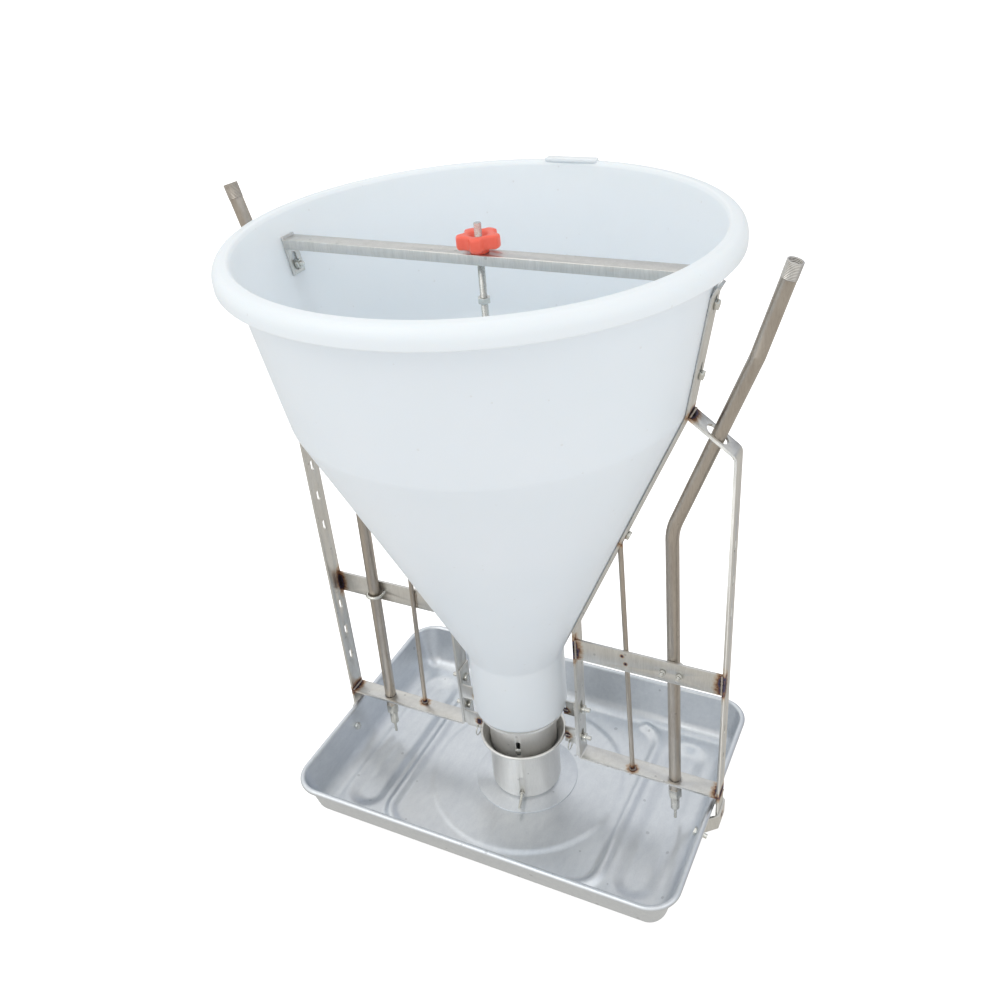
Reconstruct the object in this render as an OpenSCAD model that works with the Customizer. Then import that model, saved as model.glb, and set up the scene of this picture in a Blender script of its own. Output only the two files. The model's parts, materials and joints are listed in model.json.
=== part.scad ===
// Wet and dry feeder for pigs: a moulded hopper carried by two bent-bar side frames over a deep-drawn trough.
// Origin: centre of the trough on the ground. X runs along the trough to the right, Y to the back, Z up.
// The left side frame is the right one turned half round about Z.

/* [Trough] */
// Length of the trough over its rolled rim
trough_l = 696; // [640:2:900]
// Width of the trough over its rolled rim
trough_w = 482; // [440:2:620]
// Height of the rim above the ground
trough_h = 90; // [80:1:120]
// Corner radius of the rolled rim, outside
trough_corner_r = 52; // [50:1:70]
// Diameter of the rolled rim
rim_roll_d = 10; // [8:0.5:14]
// Lean of the trough walls
wall_draft = 14; // [8:0.5:15]
// Radius inside the foot of the walls
foot_r = 26; // [16:1:28]
// Thickness of the trough sheet
sheet_t = 1.5; // [1:0.1:2]
// Depth of the drinking basins below the floor
basin_depth = 8.5; // [6:0.5:12]
// Distance of each basin's edge from the foot of the end wall
basin_gap = 1; // [0.5:0.5:4]
// Width of each basin at the floor
basin_w = 84; // [70:1:86]
// Distance of each basin's ends from the foot of the side walls
basin_end_gap = 10; // [5:1:50]
// Width of the flat bottom of each basin
basin_flat_w = 32; // [20:1:50]
// Distance of each cross ridge from the edge of its basin
ridge_gap = 2; // [2:1:6]
// Width of a cross ridge at its foot
ridge_w = 26; // [20:1:27]
// Height of a cross ridge
ridge_h = 8; // [5:0.5:10]
// Distance of the round raised panel in the middle from the cross ridges
panel_gap = 8; // [6:1:66]
// Height of the round raised panel
panel_h = 2.5; // [1.5:0.5:4]

/* [Hopper] */
// How far the lip reaches out past the top of the wall
lip_reach = 23.5; // [19:0.5:60]
// Height of the lip's top above the ground
lip_top_z = 1032; // [1024:1:1080]
// Height of the lip's turned-down edge
lip_h = 29; // [26:1:60]
// Radius on the outer top edge of the lip
lip_edge_r = 22; // [10:1:24]
// Wall radius at the lip, outside
wall_top_r = 320; // [310:1:325]
// Height where the steep wall meets the cone
kink_z = 801; // [780:1:830]
// Wall radius where the steep wall meets the cone, outside
kink_r = 286; // [270:1:300]
// Height where the cone meets the neck
neck_top_z = 324; // [300:1:350]
// Radius of the neck, outside
neck_r = 80.5; // [79:0.5:90]
// Height of the neck's bottom
neck_bottom_z = 190.3; // [180.3:1:200.3]
// Radius round the neck's bottom edge
neck_edge_r = 12; // [6:1:16]
// Wall thickness of the hopper
hopper_t = 5; // [3:0.5:7]
// Width of the pad on the back of the lip
pad_w = 84; // [60:2:120]

/* [Side frames] */
// Width of the flat bars
bar_w = 32; // [26:1:40]
// Thickness of the flat bars
bar_t = 4; // [3:0.5:5]
// Distance of the inner upright's hopper side from the middle
inner_x = 110.5; // [106:0.5:116]
// Gap between the trough's rim and the outer upright's outer face
upright_gap = 8.4; // [6:0.2:32]
// Height of the bottom bar's underside
bottom_bar_z = 110; // [104:1:118]
// Height of the bend at the top of the outer upright
shoulder_z = 752; // [740:1:770]
// Lean of the bar from that bend up to the strap
shoulder_lean = 37; // [30:1:45]
// Height of the outer upright's foot
foot_z = 41; // [36:1:50]
// Distance of the strap's tip below the lip
strap_tip_gap = 25; // [19:1:33]
// Width of the cross strip between the uprights
mid_bar_h = 40; // [30:1:50]
// Height of the cross strip's lower edge
mid_bar_z = 336.5; // [320:0.5:350]
// Diameter of the brace rod
brace_d = 8; // [6:0.5:10]
// Distance of the brace rod's foot from the middle
brace_foot_x = 206.2; // [190:0.2:220]
// Distance of the brace rod's top from the middle
brace_top_x = 191.2; // [180:0.2:200]
// Length of the slots in the outer upright
slot_l = 19; // [12:1:24]
// Width of the slots in the outer upright
slot_w = 7.5; // [6:0.5:9]
// Distance between neighbouring slots
slot_pitch = 59.3; // [50:0.1:62]
// Height of the lowest slot
slot_low_z = 194; // [180:1:200]
// Height of the lowest slot above the cross strip
slot_high_z = 486; // [470:1:500]

/* [Water pipes] */
// Outer diameter of the water pipes
pipe_d = 20; // [16:0.5:21]
// Wall thickness of the water pipes
pipe_t = 1.5; // [1:0.1:2.5]
// Diameter over the threaded pipe end
thread_d = 20.9; // [20.9:0.1:22]
// Length of the threaded pipe end
thread_l = 22; // [15:1:30]
// Height of the pipes' lower ends
pipe_foot_z = 92; // [88:1:98]
// Distance of the pipes' lower ends from the middle of their basins, outwards
pipe_foot_out = 22.8; // [10:0.2:30]
// How far the pipes lean inwards up to a height of 612 mm
pipe_lean_in = 11.8; // [0:0.2:16]
// Heights of the right pipe's two bends and its tip
right_pipe_z = [612, 890, 1013.7];
// How far the right pipe stands out from the wall at its upper bend and from the lip at its tip
right_pipe_out = [70, 63.9];
// Heights of the left pipe's two bends and its tip
left_pipe_z = [632, 782, 1064];
// How far the left pipe stands out from the wall at its upper bend and from the lip at its tip
left_pipe_out = [45.2, 60.6];
// Turn of the left pipe's upper bend out of the side frame's plane
left_pipe_roll = 28.3; // [0:0.1:40]
// Bend radius of the water pipes
pipe_bend_r = 90; // [60:5:110]
// Diameter of the U-bolt wire
u_wire_d = 6; // [5:0.5:7]
// Height of the U-bolts
u_bolt_z = 355; // [350:1:362]

/* [Drop tube] */
// Outer radius of the drop tube
tube_r = 62; // [58:0.5:66]
// Thickness of the tube sheet
tube_t = 1.5; // [1:0.1:2]
// Height of the drop tube's lower end
tube_foot_z = 24; // [22:1:28]
// Height of the drop tube's rolled lip
tube_top_z = 127.5; // [124:0.5:130]
// Radius over the drop tube's rolled lip
tube_lip_r = 76; // [74:0.5:80]
// Diameter of the wire roll round the lip
tube_lip_d = 5; // [4:0.5:6]
// Radial gap between the drop tube and the spigot in it
spigot_gap = 1.5; // [1:0.1:3]
// Height of the spigot's lower end
spigot_foot_z = 110; // [108:0.5:112]
// Radius of the spigot's flange
flange_r = 75; // [72:0.5:78]
// Radius of the skirt on the trough floor
skirt_r = 92; // [84:1:110]
// Height of the feed spreader's cone above the trough's panel
spreader_h = 46; // [30:1:60]
// Height of the feed sleeve's lower edge at its lowest setting
sleeve_foot_z = 18; // [18:0.5:22]
// Length of the feed sleeve
sleeve_l = 52; // [46:1:52]
// Travel of the feed sleeve
sleeve_travel = 36; // [20:1:37]
// Direction of the guide bolt and clamp bolt, from +X towards +Y
bolt_turn = -73; // [-85:1:-65]

/* [Feed setting] */
// Diameter of the lifting rod
rod_d = 10; // [8:0.5:12]
// Length of the lifting rod above the crossbar
rod_reach = 39; // [31:1:51]
// Distance of the weld between the threaded and the plain rod below the crossbar's top
rod_weld_drop = 100; // [89:1:114]
// Distance of the lock nut below the crossbar's top
lock_nut_drop = 70; // [59:1:84]
// Height of the guide bolt
guide_z = 134; // [133:0.5:136]
// Rise of the lifting rod from the setting shown
rod_rise = 12; // [8:0.5:12]
// Fall of the lifting rod from the setting shown
rod_fall = 8; // [5:0.5:8]
// Radius of the metering cone
cone_r = 52; // [45:0.5:54]
// Height of the metering cone's underside
cone_z = 201; // [200:0.5:206]
// Height of the metering cone
cone_h = 36; // [25:1:45]
// Diameter over the knob
knob_d = 60; // [50:1:70]
// Height of the knob
knob_h = 25; // [20:1:30]
// Distance of the crossbar's top below the lip
cross_drop = 9; // [6:1:13]
// Width of the crossbar
cross_w = 28; // [24:1:34]
// Height of the crossbar's sides
cross_h = 14; // [12:1:18]
// Thickness of the crossbar sheet
cross_t = 2; // [1.5:0.1:2.5]

/* [Drinkers] */
// Width across flats of the drinker's socket
socket_af = 20; // [18:0.5:22]
// Length of the drinker's socket
socket_l = 19; // [14:1:22]
// Diameter of the drinker's body
drinker_d = 15; // [14:0.5:16]
// Length of the drinker's body
drinker_l = 29; // [24:1:30]
// Diameter of the drinker's pin
pin_d = 5; // [4:0.5:5.5]
// Distance from the drinker's body to the tip of its pin
pin_reach = 26; // [20:1:26]

/* [Fasteners] */
// Diameter of the frame bolts
bolt_d = 8; // [6:0.5:8]
// Diameter of the small bolts at the drop tube
small_bolt_d = 6; // [5:0.5:6]
// Distance of each clip bolt from the middle of its end wall
clip_bolt_y = 51; // [44:1:58]
// Height of the clip bolts
clip_bolt_z = 60; // [58:1:64]
// Height of the end clips
clip_h = 30; // [24:1:32]
// Radius of the hanging rings
ring_r = 10; // [8:0.5:11]
// Diameter of the hanging rings' wire
ring_wire_d = 2.5; // [2:0.1:3]

/* [Hidden] */
$fn = 96;

// Clearances
seat = 0.3;
screw_gap = 0.06;
hole_gap = 0.5;
cut = 1;
hole_reach = 10;
beyond = 100;
bend_steps = 5;
bend_swell = 0.03;
bend_lap = 0.6;

// Trough
floor_top = basin_depth + sheet_t;
roll_r = rim_roll_d / 2;
corner_x = trough_l / 2 - trough_corner_r;
corner_y = trough_w / 2 - trough_corner_r;
wall_head = [trough_corner_r - rim_roll_d, trough_h - roll_r];
wall_run = (wall_head.y + foot_r * sin(wall_draft) - floor_top - foot_r) / cos(wall_draft);
foot_centre = [wall_head.x - wall_run * sin(wall_draft) - foot_r * cos(wall_draft), floor_top + foot_r];
floor_x = corner_x + foot_centre.x;
floor_y = corner_y + foot_centre.x;
basin_x = floor_x - basin_gap - basin_w / 2;
basin_straight = 2 * (floor_y - basin_end_gap) - basin_w;
ridge_x = basin_x - basin_w / 2 - ridge_gap - ridge_w / 2;
ridge_arc_r = (pow(ridge_w / 2, 2) + ridge_h * ridge_h) / (2 * ridge_h);
ridge_end_gap = 1;
ridge_end = floor_y - ridge_w / 2 - ridge_end_gap;
panel_r = min(ridge_x - ridge_w / 2, floor_y) - panel_gap;
panel_step = 6;
panel_top = floor_top + panel_h;

// Hopper
lip_r = wall_top_r + lip_reach;
lip_foot_z = lip_top_z - lip_h;
wall_slope = (wall_top_r - kink_r) / (lip_foot_z - kink_z);
cone_slope = (kink_r - neck_r) / (kink_z - neck_top_z);
wall_lean = atan(wall_slope);
cone_lean = atan(cone_slope);
function wall_r(z) = z > kink_z ? kink_r + (z - kink_z) * wall_slope
    : z > neck_top_z ? kink_r - (kink_z - z) * cone_slope : neck_r;
function lean(z) = z > kink_z ? wall_lean : cone_lean;
inner_lip_r = 10;
inner_lip_x = wall_r(lip_top_z - inner_lip_r) - hopper_t / cos(wall_lean) + inner_lip_r;
lip_crest_r = (lip_r - lip_edge_r + inner_lip_x) / 2;
lip_lap = 4;
pad_rise = 4;
pad_depth = 14;

// Fasteners
frame_bolt_z = [lip_foot_z - 50, kink_z + 56, kink_z - 211];
bracket_bolt_z = [bottom_bar_z + 104, bottom_bar_z + 39];
nut_af = 1.6;
nut_depth = 0.8;
head_depth = 0.66;
slot_rise = 18;

// Side frame
outer_x = trough_l / 2 + upright_gap;
strap_tip_z = lip_foot_z - strap_tip_gap;
strap_kink_z = neck_top_z + (inner_x - seat - neck_r) / cone_slope;
tip_flare_h = 13;
tip_flare_z = strap_tip_z - tip_flare_h;
tip_flare = 7;
strap_edge = [
    [wall_r(tip_flare_z) + seat + tip_flare, strap_tip_z],
    [wall_r(tip_flare_z) + seat, tip_flare_z],
    [kink_r + seat, kink_z],
    [inner_x, strap_kink_z],
    [inner_x, bottom_bar_z],
    [outer_x - bar_t, bottom_bar_z]
];
strap_bend = [0, 12, 12, 10, 7, 0];
face_step = bar_t / cos(cone_lean);
weld_gap = 1.4;
strap_face = kink_r + seat + face_step + weld_gap;
function shoulder_meet(slope) = (shoulder_z + (outer_x - strap_face + kink_z * slope) * tan(shoulder_lean))
    / (1 + slope * tan(shoulder_lean));
shoulder_top_z = shoulder_meet(cone_slope) < kink_z ? shoulder_meet(cone_slope) : shoulder_meet(wall_slope);
shoulder_start = [outer_x - (shoulder_top_z - shoulder_z) / tan(shoulder_lean), shoulder_top_z];
upright_edge = [shoulder_start, [outer_x, shoulder_z], [outer_x, foot_z]];
upright_bend = [0, 14, 0];
mid_bar_front = -15;
mid_bar_back = mid_bar_front + bar_t;
slot_heights = concat(
    [for (i = [0:2]) slot_low_z + i * slot_pitch],
    [for (i = [0:2]) slot_high_z + i * slot_pitch]
);

// Water pipes
pipe_r = pipe_d / 2;
pipe_y = mid_bar_back + seat + pipe_r;
pipe_low = [basin_x + pipe_foot_out, pipe_foot_z];
pipe_lean = atan2(-pipe_lean_in, right_pipe_z[0] - pipe_low.y);
function pipe_x(z) = pipe_low.x + (z - pipe_low.y) * tan(pipe_lean);
function pipe_path(z, out) = [
    pipe_low, [pipe_x(z[0]), z[0]], [wall_r(z[1]) + out[0], z[1]], [lip_r + out[1], z[2]]
];
pipe_path_right = pipe_path(right_pipe_z, right_pipe_out);
pipe_path_left = pipe_path(left_pipe_z, left_pipe_out);
pipe_slope = (pipe_path_right[2].x - pipe_path_right[1].x) / (right_pipe_z[1] - right_pipe_z[0]);
pipe_hole_half = 7;
pipe_hole_offset = 1.5;
pipe_rise = shoulder_z + outer_x * tan(shoulder_lean) - right_pipe_z[0];
pipe_hole_x = (pipe_path_right[1].x + pipe_rise * pipe_slope)
    / (1 + tan(shoulder_lean) * pipe_slope) - pipe_hole_offset;
pipe_hole_z = shoulder_z + (outer_x - pipe_hole_x) * tan(shoulder_lean);
u_leg = pipe_r + seat + u_wire_d / 2;
u_tail = 12;

// Drop tube and spigot
spigot_r = tube_r - tube_t - spigot_gap;
flange_t = 5;
spigot_rise = 10;
flange_z = neck_bottom_z - seat - flange_t;
flare_z = 110;
lip_roll = tube_lip_d / 2;
sleeve_r = tube_r - tube_t - seat;
skirt_rise = 2;
spreader_r = tube_r - 8;
spreader_foot = 2.7;
spreader_tip_r = 8;
spreader_t = 2;
clamp_z = sleeve_foot_z + 12;
clamp_shank = 40;
guide_slot_w = small_bolt_d + 2;
clamp_slot_w = small_bolt_d + 1;

// Feed setting
cross_top_z = lip_foot_z - cross_drop;
rod_top_z = cross_top_z + rod_reach;
rod_weld_z = cross_top_z - rod_weld_drop;
lock_nut_z = cross_top_z - lock_nut_drop;
rod_r = rod_d / 2;
rod_end_z = guide_z - 8;
knob_z = cross_top_z + seat;
knob_hub_r = 13;
knob_hub_h = 7;
insert_r = 8;
insert_h = 16;
lock_nut_h = 8;
plate_t = 2.5;
plate_top_z = cross_top_z + 3;
plate_low_z = frame_bolt_z[0] - 12;
cone_land = 3;

// Drinkers
socket_bore_r = 4;
chamber_r = drinker_d / 2 - 1.3;
mouth_r = pin_d / 2 + 1.3;
mouth_l = 7.15;
pin_head_r = chamber_r - 1.2;
pin_head_l = 3;
seal_t = 0.5;

// Bracket
bracket_t = 3;
bracket_y = 12;
bracket_z = [bottom_bar_z + 6, bracket_bolt_z[0] + 26];
low_tab_z = [bottom_bar_z + 2, bottom_bar_z + 37];
high_tab_z = [flange_z - 7, flange_z + 23];
tab_lap = 10;
tab_gap = 5;
ring_gap = 0.6;
ring_hole = [84, low_tab_z[0] + 4];

// End clip
clip_t = 3;
clip_crown_w = 38;
clip_flange_w = 34;
wall_outer = wall_head + sheet_t * [cos(wall_draft), -sin(wall_draft)];
clip_wall_x = corner_x + wall_outer.x - (wall_outer.y - clip_bolt_z) * tan(wall_draft);

function unit(v) = v / norm(v);
function left_of(v) = [-v.y, v.x];

// Points of an outline whose corner i is rounded with radius[i]
function rounded(points, radii) = [
    for (i = [0:len(points) - 1])
        if (i == 0 || i == len(points) - 1 || radii[i] == 0) points[i]
        else
            let (
                a = unit(points[i - 1] - points[i]),
                b = unit(points[i + 1] - points[i]),
                half = acos(a * b) / 2,
                centre = points[i] + unit(a + b) * radii[i] / sin(half),
                from = points[i] + a * radii[i] / tan(half) - centre,
                turn = 180 - 2 * half,
                side = sign(a.x * b.y - a.y * b.x)
            )
            for (k = [0:bend_steps])
                let (t = -side * turn * k / bend_steps)
                centre + [from.x * cos(t) - from.y * sin(t), from.x * sin(t) + from.y * cos(t)]
];

// The same outline moved sideways by d, with mitred corners
function shifted(points, d) = [
    for (i = [0:len(points) - 1])
        let (
            before = unit(points[max(i, 1)] - points[max(i, 1) - 1]),
            after = unit(points[min(i, len(points) - 2) + 1] - points[min(i, len(points) - 2)]),
            mitre = unit(left_of(before) + left_of(after))
        )
        points[i] + mitre * d / (mitre * left_of(after))
];

// A flat bar bent along an outline in the XZ plane, seen edge on
module bent_bar(points, d, w) {
    rotate([90, 0, 0])
        linear_extrude(w, center = true)
            polygon(concat(points, [for (i = [len(points) - 1:-1:0]) shifted(points, d)[i]]));
}

// Turns what comes after the last bend of a path about the straight that leads to that bend
module rolled(path, roll) {
    pivot = path[len(path) - 2];
    before = path[len(path) - 3];
    heading = atan2(pivot.x - before.x, pivot.y - before.y);
    translate([pivot.x, 0, pivot.y])
        rotate([0, heading, 0])
            rotate([0, 0, roll])
                rotate([0, -heading, 0]) translate([-pivot.x, 0, -pivot.y]) children();
}

// A round bar bent in the XZ plane. Its bends swell a little, and the straights run on into them.
module bent_round(path, r, bend_r, overrun = 0, roll = 0) {
    last = len(path) - 1;
    heading = [for (i = [0:last - 1]) atan2(path[i + 1].x - path[i].x, path[i + 1].y - path[i].y)];
    turn = [for (i = [0:last]) i == 0 || i == last ? 0 : heading[i] - heading[i - 1]];
    trim = [for (i = [0:last]) i == 0 || i == last ? -overrun : bend_r * tan(abs(turn[i]) / 2) - bend_lap];
    for (i = [0:last - 1])
        let (d = [sin(heading[i]), cos(heading[i])], start = path[i] + d * trim[i])
        rolled(path, i == last - 1 ? roll : 0)
            translate([start.x, 0, start.y])
                rotate([0, heading[i], 0])
                    cylinder(h = norm(path[i + 1] - path[i]) - trim[i] - trim[i + 1], r = r);
    for (i = [1:last - 1])
        let (
            d = [sin(heading[i - 1]), cos(heading[i - 1])],
            start = path[i] - d * (trim[i] + bend_lap)
        )
        rolled(path, i == last - 1 ? roll : 0)
            translate([start.x, 0, start.y])
                rotate([0, heading[i - 1], 0])
                    mirror([turn[i] > 0 ? 0 : 1, 0, 0])
                        translate([bend_r, 0, 0])
                            rotate([90, 0, 180])
                                rotate_extrude(angle = abs(turn[i]))
                                    translate([bend_r, 0]) circle(r + bend_swell);
}

// A place on the hopper wall at height z, with X pointing straight out of the wall
module on_wall(z) {
    translate([wall_r(z), 0, z]) rotate([0, lean(z), 0]) children();
}

// A place on the outside of the trough's end wall at the clip bolts' height
module on_end_wall(y) {
    translate([clip_wall_x, y, clip_bolt_z]) rotate([0, wall_draft, 0]) children();
}

module along_x(l, r) {
    rotate([0, 90, 0]) cylinder(h = l, r = r);
}

// An oblong cut through X, its long way up
module oblong(l, w, x0, x1) {
    for (s = [-1, 1])
        translate([x0, 0, s * (l - w) / 2]) along_x(x1 - x0, w / 2);
    translate([x0, -w / 2, -(l - w) / 2]) cube([x1 - x0, w, l - w]);
}

// A hexagonal prism along X with an optional bore
module hex(af, l, bore = 0) {
    difference() {
        rotate([0, 90, 0]) cylinder(h = l, d = af / cos(30), $fn = 6);
        if (bore > 0)
            translate([-cut, 0, 0]) along_x(l + 2 * cut, bore);
    }
}

// A bolt along X: head from -head to 0, shank to grip
module bolt(d, grip) {
    translate([-d * head_depth, 0, 0]) hex(d * nut_af, d * head_depth);
    translate([-cut, 0, 0]) along_x(grip + cut, d / 2);
}

module nut(d) {
    hex(d * nut_af, d * nut_depth, d / 2 + screw_gap);
}

module half_turn() {
    rotate([0, 0, 180]) children();
}

module both_sides() {
    children();
    half_turn() children();
}

// Trough

module wall_profile() {
    translate(foot_centre)
        intersection() {
            difference() {
                circle(foot_r + sheet_t);
                circle(foot_r);
            }
            polygon([
                [0, 0], [0, -2 * foot_r], [2 * foot_r, -2 * foot_r],
                3 * foot_r * [cos(wall_draft), -sin(wall_draft)]
            ]);
        }
    out = [cos(wall_draft), -sin(wall_draft)];
    wall_base = foot_centre + foot_r * out;
    polygon([wall_base, wall_base + sheet_t * out, wall_head + sheet_t * out, wall_head]);
    translate([trough_corner_r - roll_r, trough_h - roll_r])
        difference() {
            circle(roll_r);
            circle(roll_r - sheet_t);
            polygon([[0, 0], [-roll_r / 3, -2 * roll_r], [roll_r / 3, -2 * roll_r]]);
        }
}

module trough_walls() {
    for (sx = [0, 1], sy = [0, 1])
        mirror([sx, 0, 0])
            mirror([0, sy, 0])
                translate([corner_x, corner_y, 0]) rotate_extrude(angle = 90) wall_profile();
    for (sy = [0, 1])
        mirror([0, sy, 0])
            translate([corner_x, corner_y, 0])
                rotate([90, 0, -90])
                    mirror([1, 0, 0])
                        linear_extrude(2 * corner_x) wall_profile();
    for (sx = [0, 1])
        mirror([sx, 0, 0])
            translate([corner_x, corner_y, 0])
                rotate([90, 0, 0]) linear_extrude(2 * corner_y) wall_profile();
}

// The outline of a pressed bead or basin across the trough, with round ends
module pressed_outline(x, straight, r) {
    for (s = [-1, 1])
        translate([x, s * straight / 2]) circle(r);
    translate([x - r, -straight / 2]) square([2 * r, straight]);
}

module basin_profile() {
    flat = basin_flat_w / 2;
    edge = basin_w / 2;
    polygon([
        [0, 0], [flat, 0], [edge, basin_depth], [edge, basin_depth + sheet_t],
        [flat, sheet_t], [0, sheet_t]
    ]);
}

module basin() {
    translate([basin_x, 0, 0]) {
        for (s = [0, 1])
            mirror([0, s, 0])
                translate([0, basin_straight / 2, 0]) rotate_extrude(angle = 180) basin_profile();
        for (s = [0, 1])
            mirror([s, 0, 0])
                translate([0, basin_straight / 2, 0])
                    rotate([90, 0, 0]) linear_extrude(basin_straight) basin_profile();
    }
}

module ridge_profile() {
    intersection() {
        translate([0, floor_top + ridge_h - ridge_arc_r])
            difference() {
                circle(ridge_arc_r);
                circle(ridge_arc_r - sheet_t);
            }
        translate([0, floor_top - sheet_t]) square([ridge_w, 2 * ridge_h]);
    }
}

module ridge() {
    translate([ridge_x, 0, 0]) {
        for (s = [0, 1])
            mirror([0, s, 0])
                translate([0, ridge_end, 0]) rotate_extrude(angle = 180) ridge_profile();
        for (s = [0, 1])
            mirror([s, 0, 0])
                translate([0, ridge_end, 0]) rotate([90, 0, 0]) linear_extrude(2 * ridge_end) ridge_profile();
    }
}

module floor_sheet() {
    translate([0, 0, floor_top - sheet_t])
        linear_extrude(sheet_t)
            difference() {
                union() {
                    square([2 * floor_x, 2 * corner_y], center = true);
                    square([2 * corner_x, 2 * floor_y], center = true);
                    for (sx = [-1, 1], sy = [-1, 1])
                        translate([sx * corner_x, sy * corner_y]) circle(foot_centre.x);
                }
                circle(panel_r);
                for (s = [0, 1])
                    mirror([s, 0]) {
                        pressed_outline(basin_x, basin_straight, basin_w / 2);
                        pressed_outline(ridge_x, 2 * ridge_end, ridge_w / 2 - sheet_t);
                    }
            }
    rotate_extrude()
        polygon([
            [0, panel_top - sheet_t], [panel_r - panel_step, panel_top - sheet_t],
            [panel_r, floor_top - sheet_t],
            [panel_r, floor_top], [panel_r - panel_step, panel_top], [0, panel_top]
        ]);
}

module trough() {
    color([0.70, 0.73, 0.77])
        difference() {
            union() {
                trough_walls();
                floor_sheet();
                for (s = [0, 1])
                    mirror([s, 0, 0]) {
                        basin();
                        ridge();
                    }
            }
            both_sides()
                for (s = [-1, 1])
                    on_end_wall(s * clip_bolt_y)
                        translate([-hole_reach, 0, 0]) along_x(2 * hole_reach, bolt_d / 2 + hole_gap);
        }
}

// Drop tube, spigot and feed sleeve

module skirt_cone() {
    edge_z = panel_top + tube_t + seat;
    rise_z = edge_z + skirt_rise;
    foot_z = rise_z + spreader_foot;
    tip_z = panel_top + spreader_h - spreader_t;
    color([0.86, 0.87, 0.90])
        rotate_extrude()
            polygon([
                [skirt_r, edge_z], [tube_r, rise_z], [spreader_r, foot_z],
                [spreader_tip_r, tip_z], [0, tip_z + spreader_t],
                [0, tip_z - tube_t], [spreader_tip_r - spreader_t, tip_z - 2 * tube_t],
                [spreader_r - spreader_t, foot_z - tube_t], [tube_r, rise_z - tube_t],
                [skirt_r - 4 * tube_t, panel_top], [skirt_r, panel_top]
            ]);
}

module drop_tube() {
    color([0.80, 0.79, 0.76])
        difference() {
            rotate_extrude() {
                translate([tube_r - tube_t, tube_foot_z]) square([tube_t, flare_z - tube_foot_z]);
                polygon([
                    [tube_r - tube_t, flare_z], [tube_r, flare_z],
                    [tube_lip_r - 2 * lip_roll + tube_t, tube_top_z], [tube_lip_r - 2 * lip_roll, tube_top_z]
                ]);
                translate([tube_lip_r - lip_roll, tube_top_z]) circle(lip_roll);
            }
            rotate([0, 0, bolt_turn])
                translate([0, 0, clamp_z + sleeve_travel / 2])
                    oblong(sleeve_travel + clamp_slot_w, clamp_slot_w,
                        tube_r - hole_reach, tube_r + hole_reach);
        }
}

module spigot() {
    guide_mid = guide_z + (rod_rise - rod_fall) / 2;
    guide_slot_l = rod_rise + rod_fall + small_bolt_d + 6;
    color([0.74, 0.75, 0.74])
        difference() {
            rotate_extrude() {
                translate([spigot_r - tube_t, spigot_foot_z])
                    square([tube_t, neck_bottom_z + spigot_rise - spigot_foot_z]);
                translate([spigot_r - tube_t / 2, flange_z])
                    square([flange_r - spigot_r + tube_t / 2, flange_t]);
            }
            for (s = [0, 180])
                rotate([0, 0, bolt_turn + s])
                    translate([0, 0, guide_mid])
                        oblong(guide_slot_l, guide_slot_w, spigot_r - hole_reach, spigot_r + hole_reach);
        }
}

module feed_sleeve() {
    color([0.62, 0.61, 0.58])
        difference() {
            translate([0, 0, sleeve_foot_z])
                rotate_extrude() translate([sleeve_r - tube_t, 0]) square([tube_t, sleeve_l]);
            rotate([0, 0, bolt_turn])
                translate([sleeve_r - hole_reach, 0, clamp_z])
                    along_x(2 * hole_reach, small_bolt_d / 2 + screw_gap);
        }
}

module sleeve_bolt() {
    color([0.75, 0.76, 0.77])
        rotate([0, 0, bolt_turn])
            translate([sqrt(pow(sleeve_r - tube_t, 2) - pow(small_bolt_d, 2)) - seat, 0, clamp_z])
                bolt(small_bolt_d, clamp_shank);
}

module sleeve_nut() {
    color([0.70, 0.71, 0.72])
        rotate([0, 0, bolt_turn]) translate([tube_r + seat, 0, clamp_z]) nut(small_bolt_d);
}

// Hopper

module hopper_outside() {
    polygon([
        [0, neck_bottom_z], [neck_r - neck_edge_r, neck_bottom_z],
        [neck_r - neck_edge_r, neck_bottom_z + neck_edge_r],
        [neck_r, neck_bottom_z + neck_edge_r], [neck_r, neck_top_z], [kink_r, kink_z],
        [wall_top_r, lip_foot_z], [wall_r(lip_top_z), lip_top_z], [0, lip_top_z]
    ]);
    translate([neck_r - neck_edge_r, neck_bottom_z + neck_edge_r]) circle(neck_edge_r);
}

module lip_shape(inset) {
    r = lip_edge_r - inset;
    translate([wall_top_r - lip_lap, lip_foot_z - (inset > 0 ? cut : 0)])
        square([lip_reach - lip_edge_r + lip_lap, lip_h - inset + (inset > 0 ? cut : 0)]);
    translate([lip_r - lip_edge_r - cut, lip_foot_z - (inset > 0 ? cut : 0)])
        square([r + cut, lip_h - lip_edge_r + (inset > 0 ? cut : 0)]);
    translate([lip_r - lip_edge_r, lip_top_z - lip_edge_r]) circle(r);
}

module hopper_inside() {
    wall = hopper_t / cos(wall_lean);
    side = hopper_t / cos(cone_lean);
    floor_r = neck_edge_r - hopper_t;
    polygon([
        [0, neck_bottom_z + hopper_t], [neck_r - neck_edge_r, neck_bottom_z + hopper_t],
        [neck_r - neck_edge_r, neck_bottom_z + neck_edge_r], [neck_r - hopper_t, neck_bottom_z + neck_edge_r],
        [neck_r - hopper_t, neck_top_z + hopper_t * tan(cone_lean / 2)],
        [kink_r - side, kink_z], [wall_top_r - wall, lip_foot_z],
        [wall_r(lip_top_z - inner_lip_r) - wall, lip_top_z - inner_lip_r], [0, lip_top_z - inner_lip_r]
    ]);
    translate([neck_r - neck_edge_r, neck_bottom_z + neck_edge_r]) circle(floor_r);
    difference() {
        translate([0, lip_top_z - inner_lip_r - cut]) square([inner_lip_x, inner_lip_r + 2 * cut]);
        translate([inner_lip_x, lip_top_z - inner_lip_r]) circle(inner_lip_r);
    }
}

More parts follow.
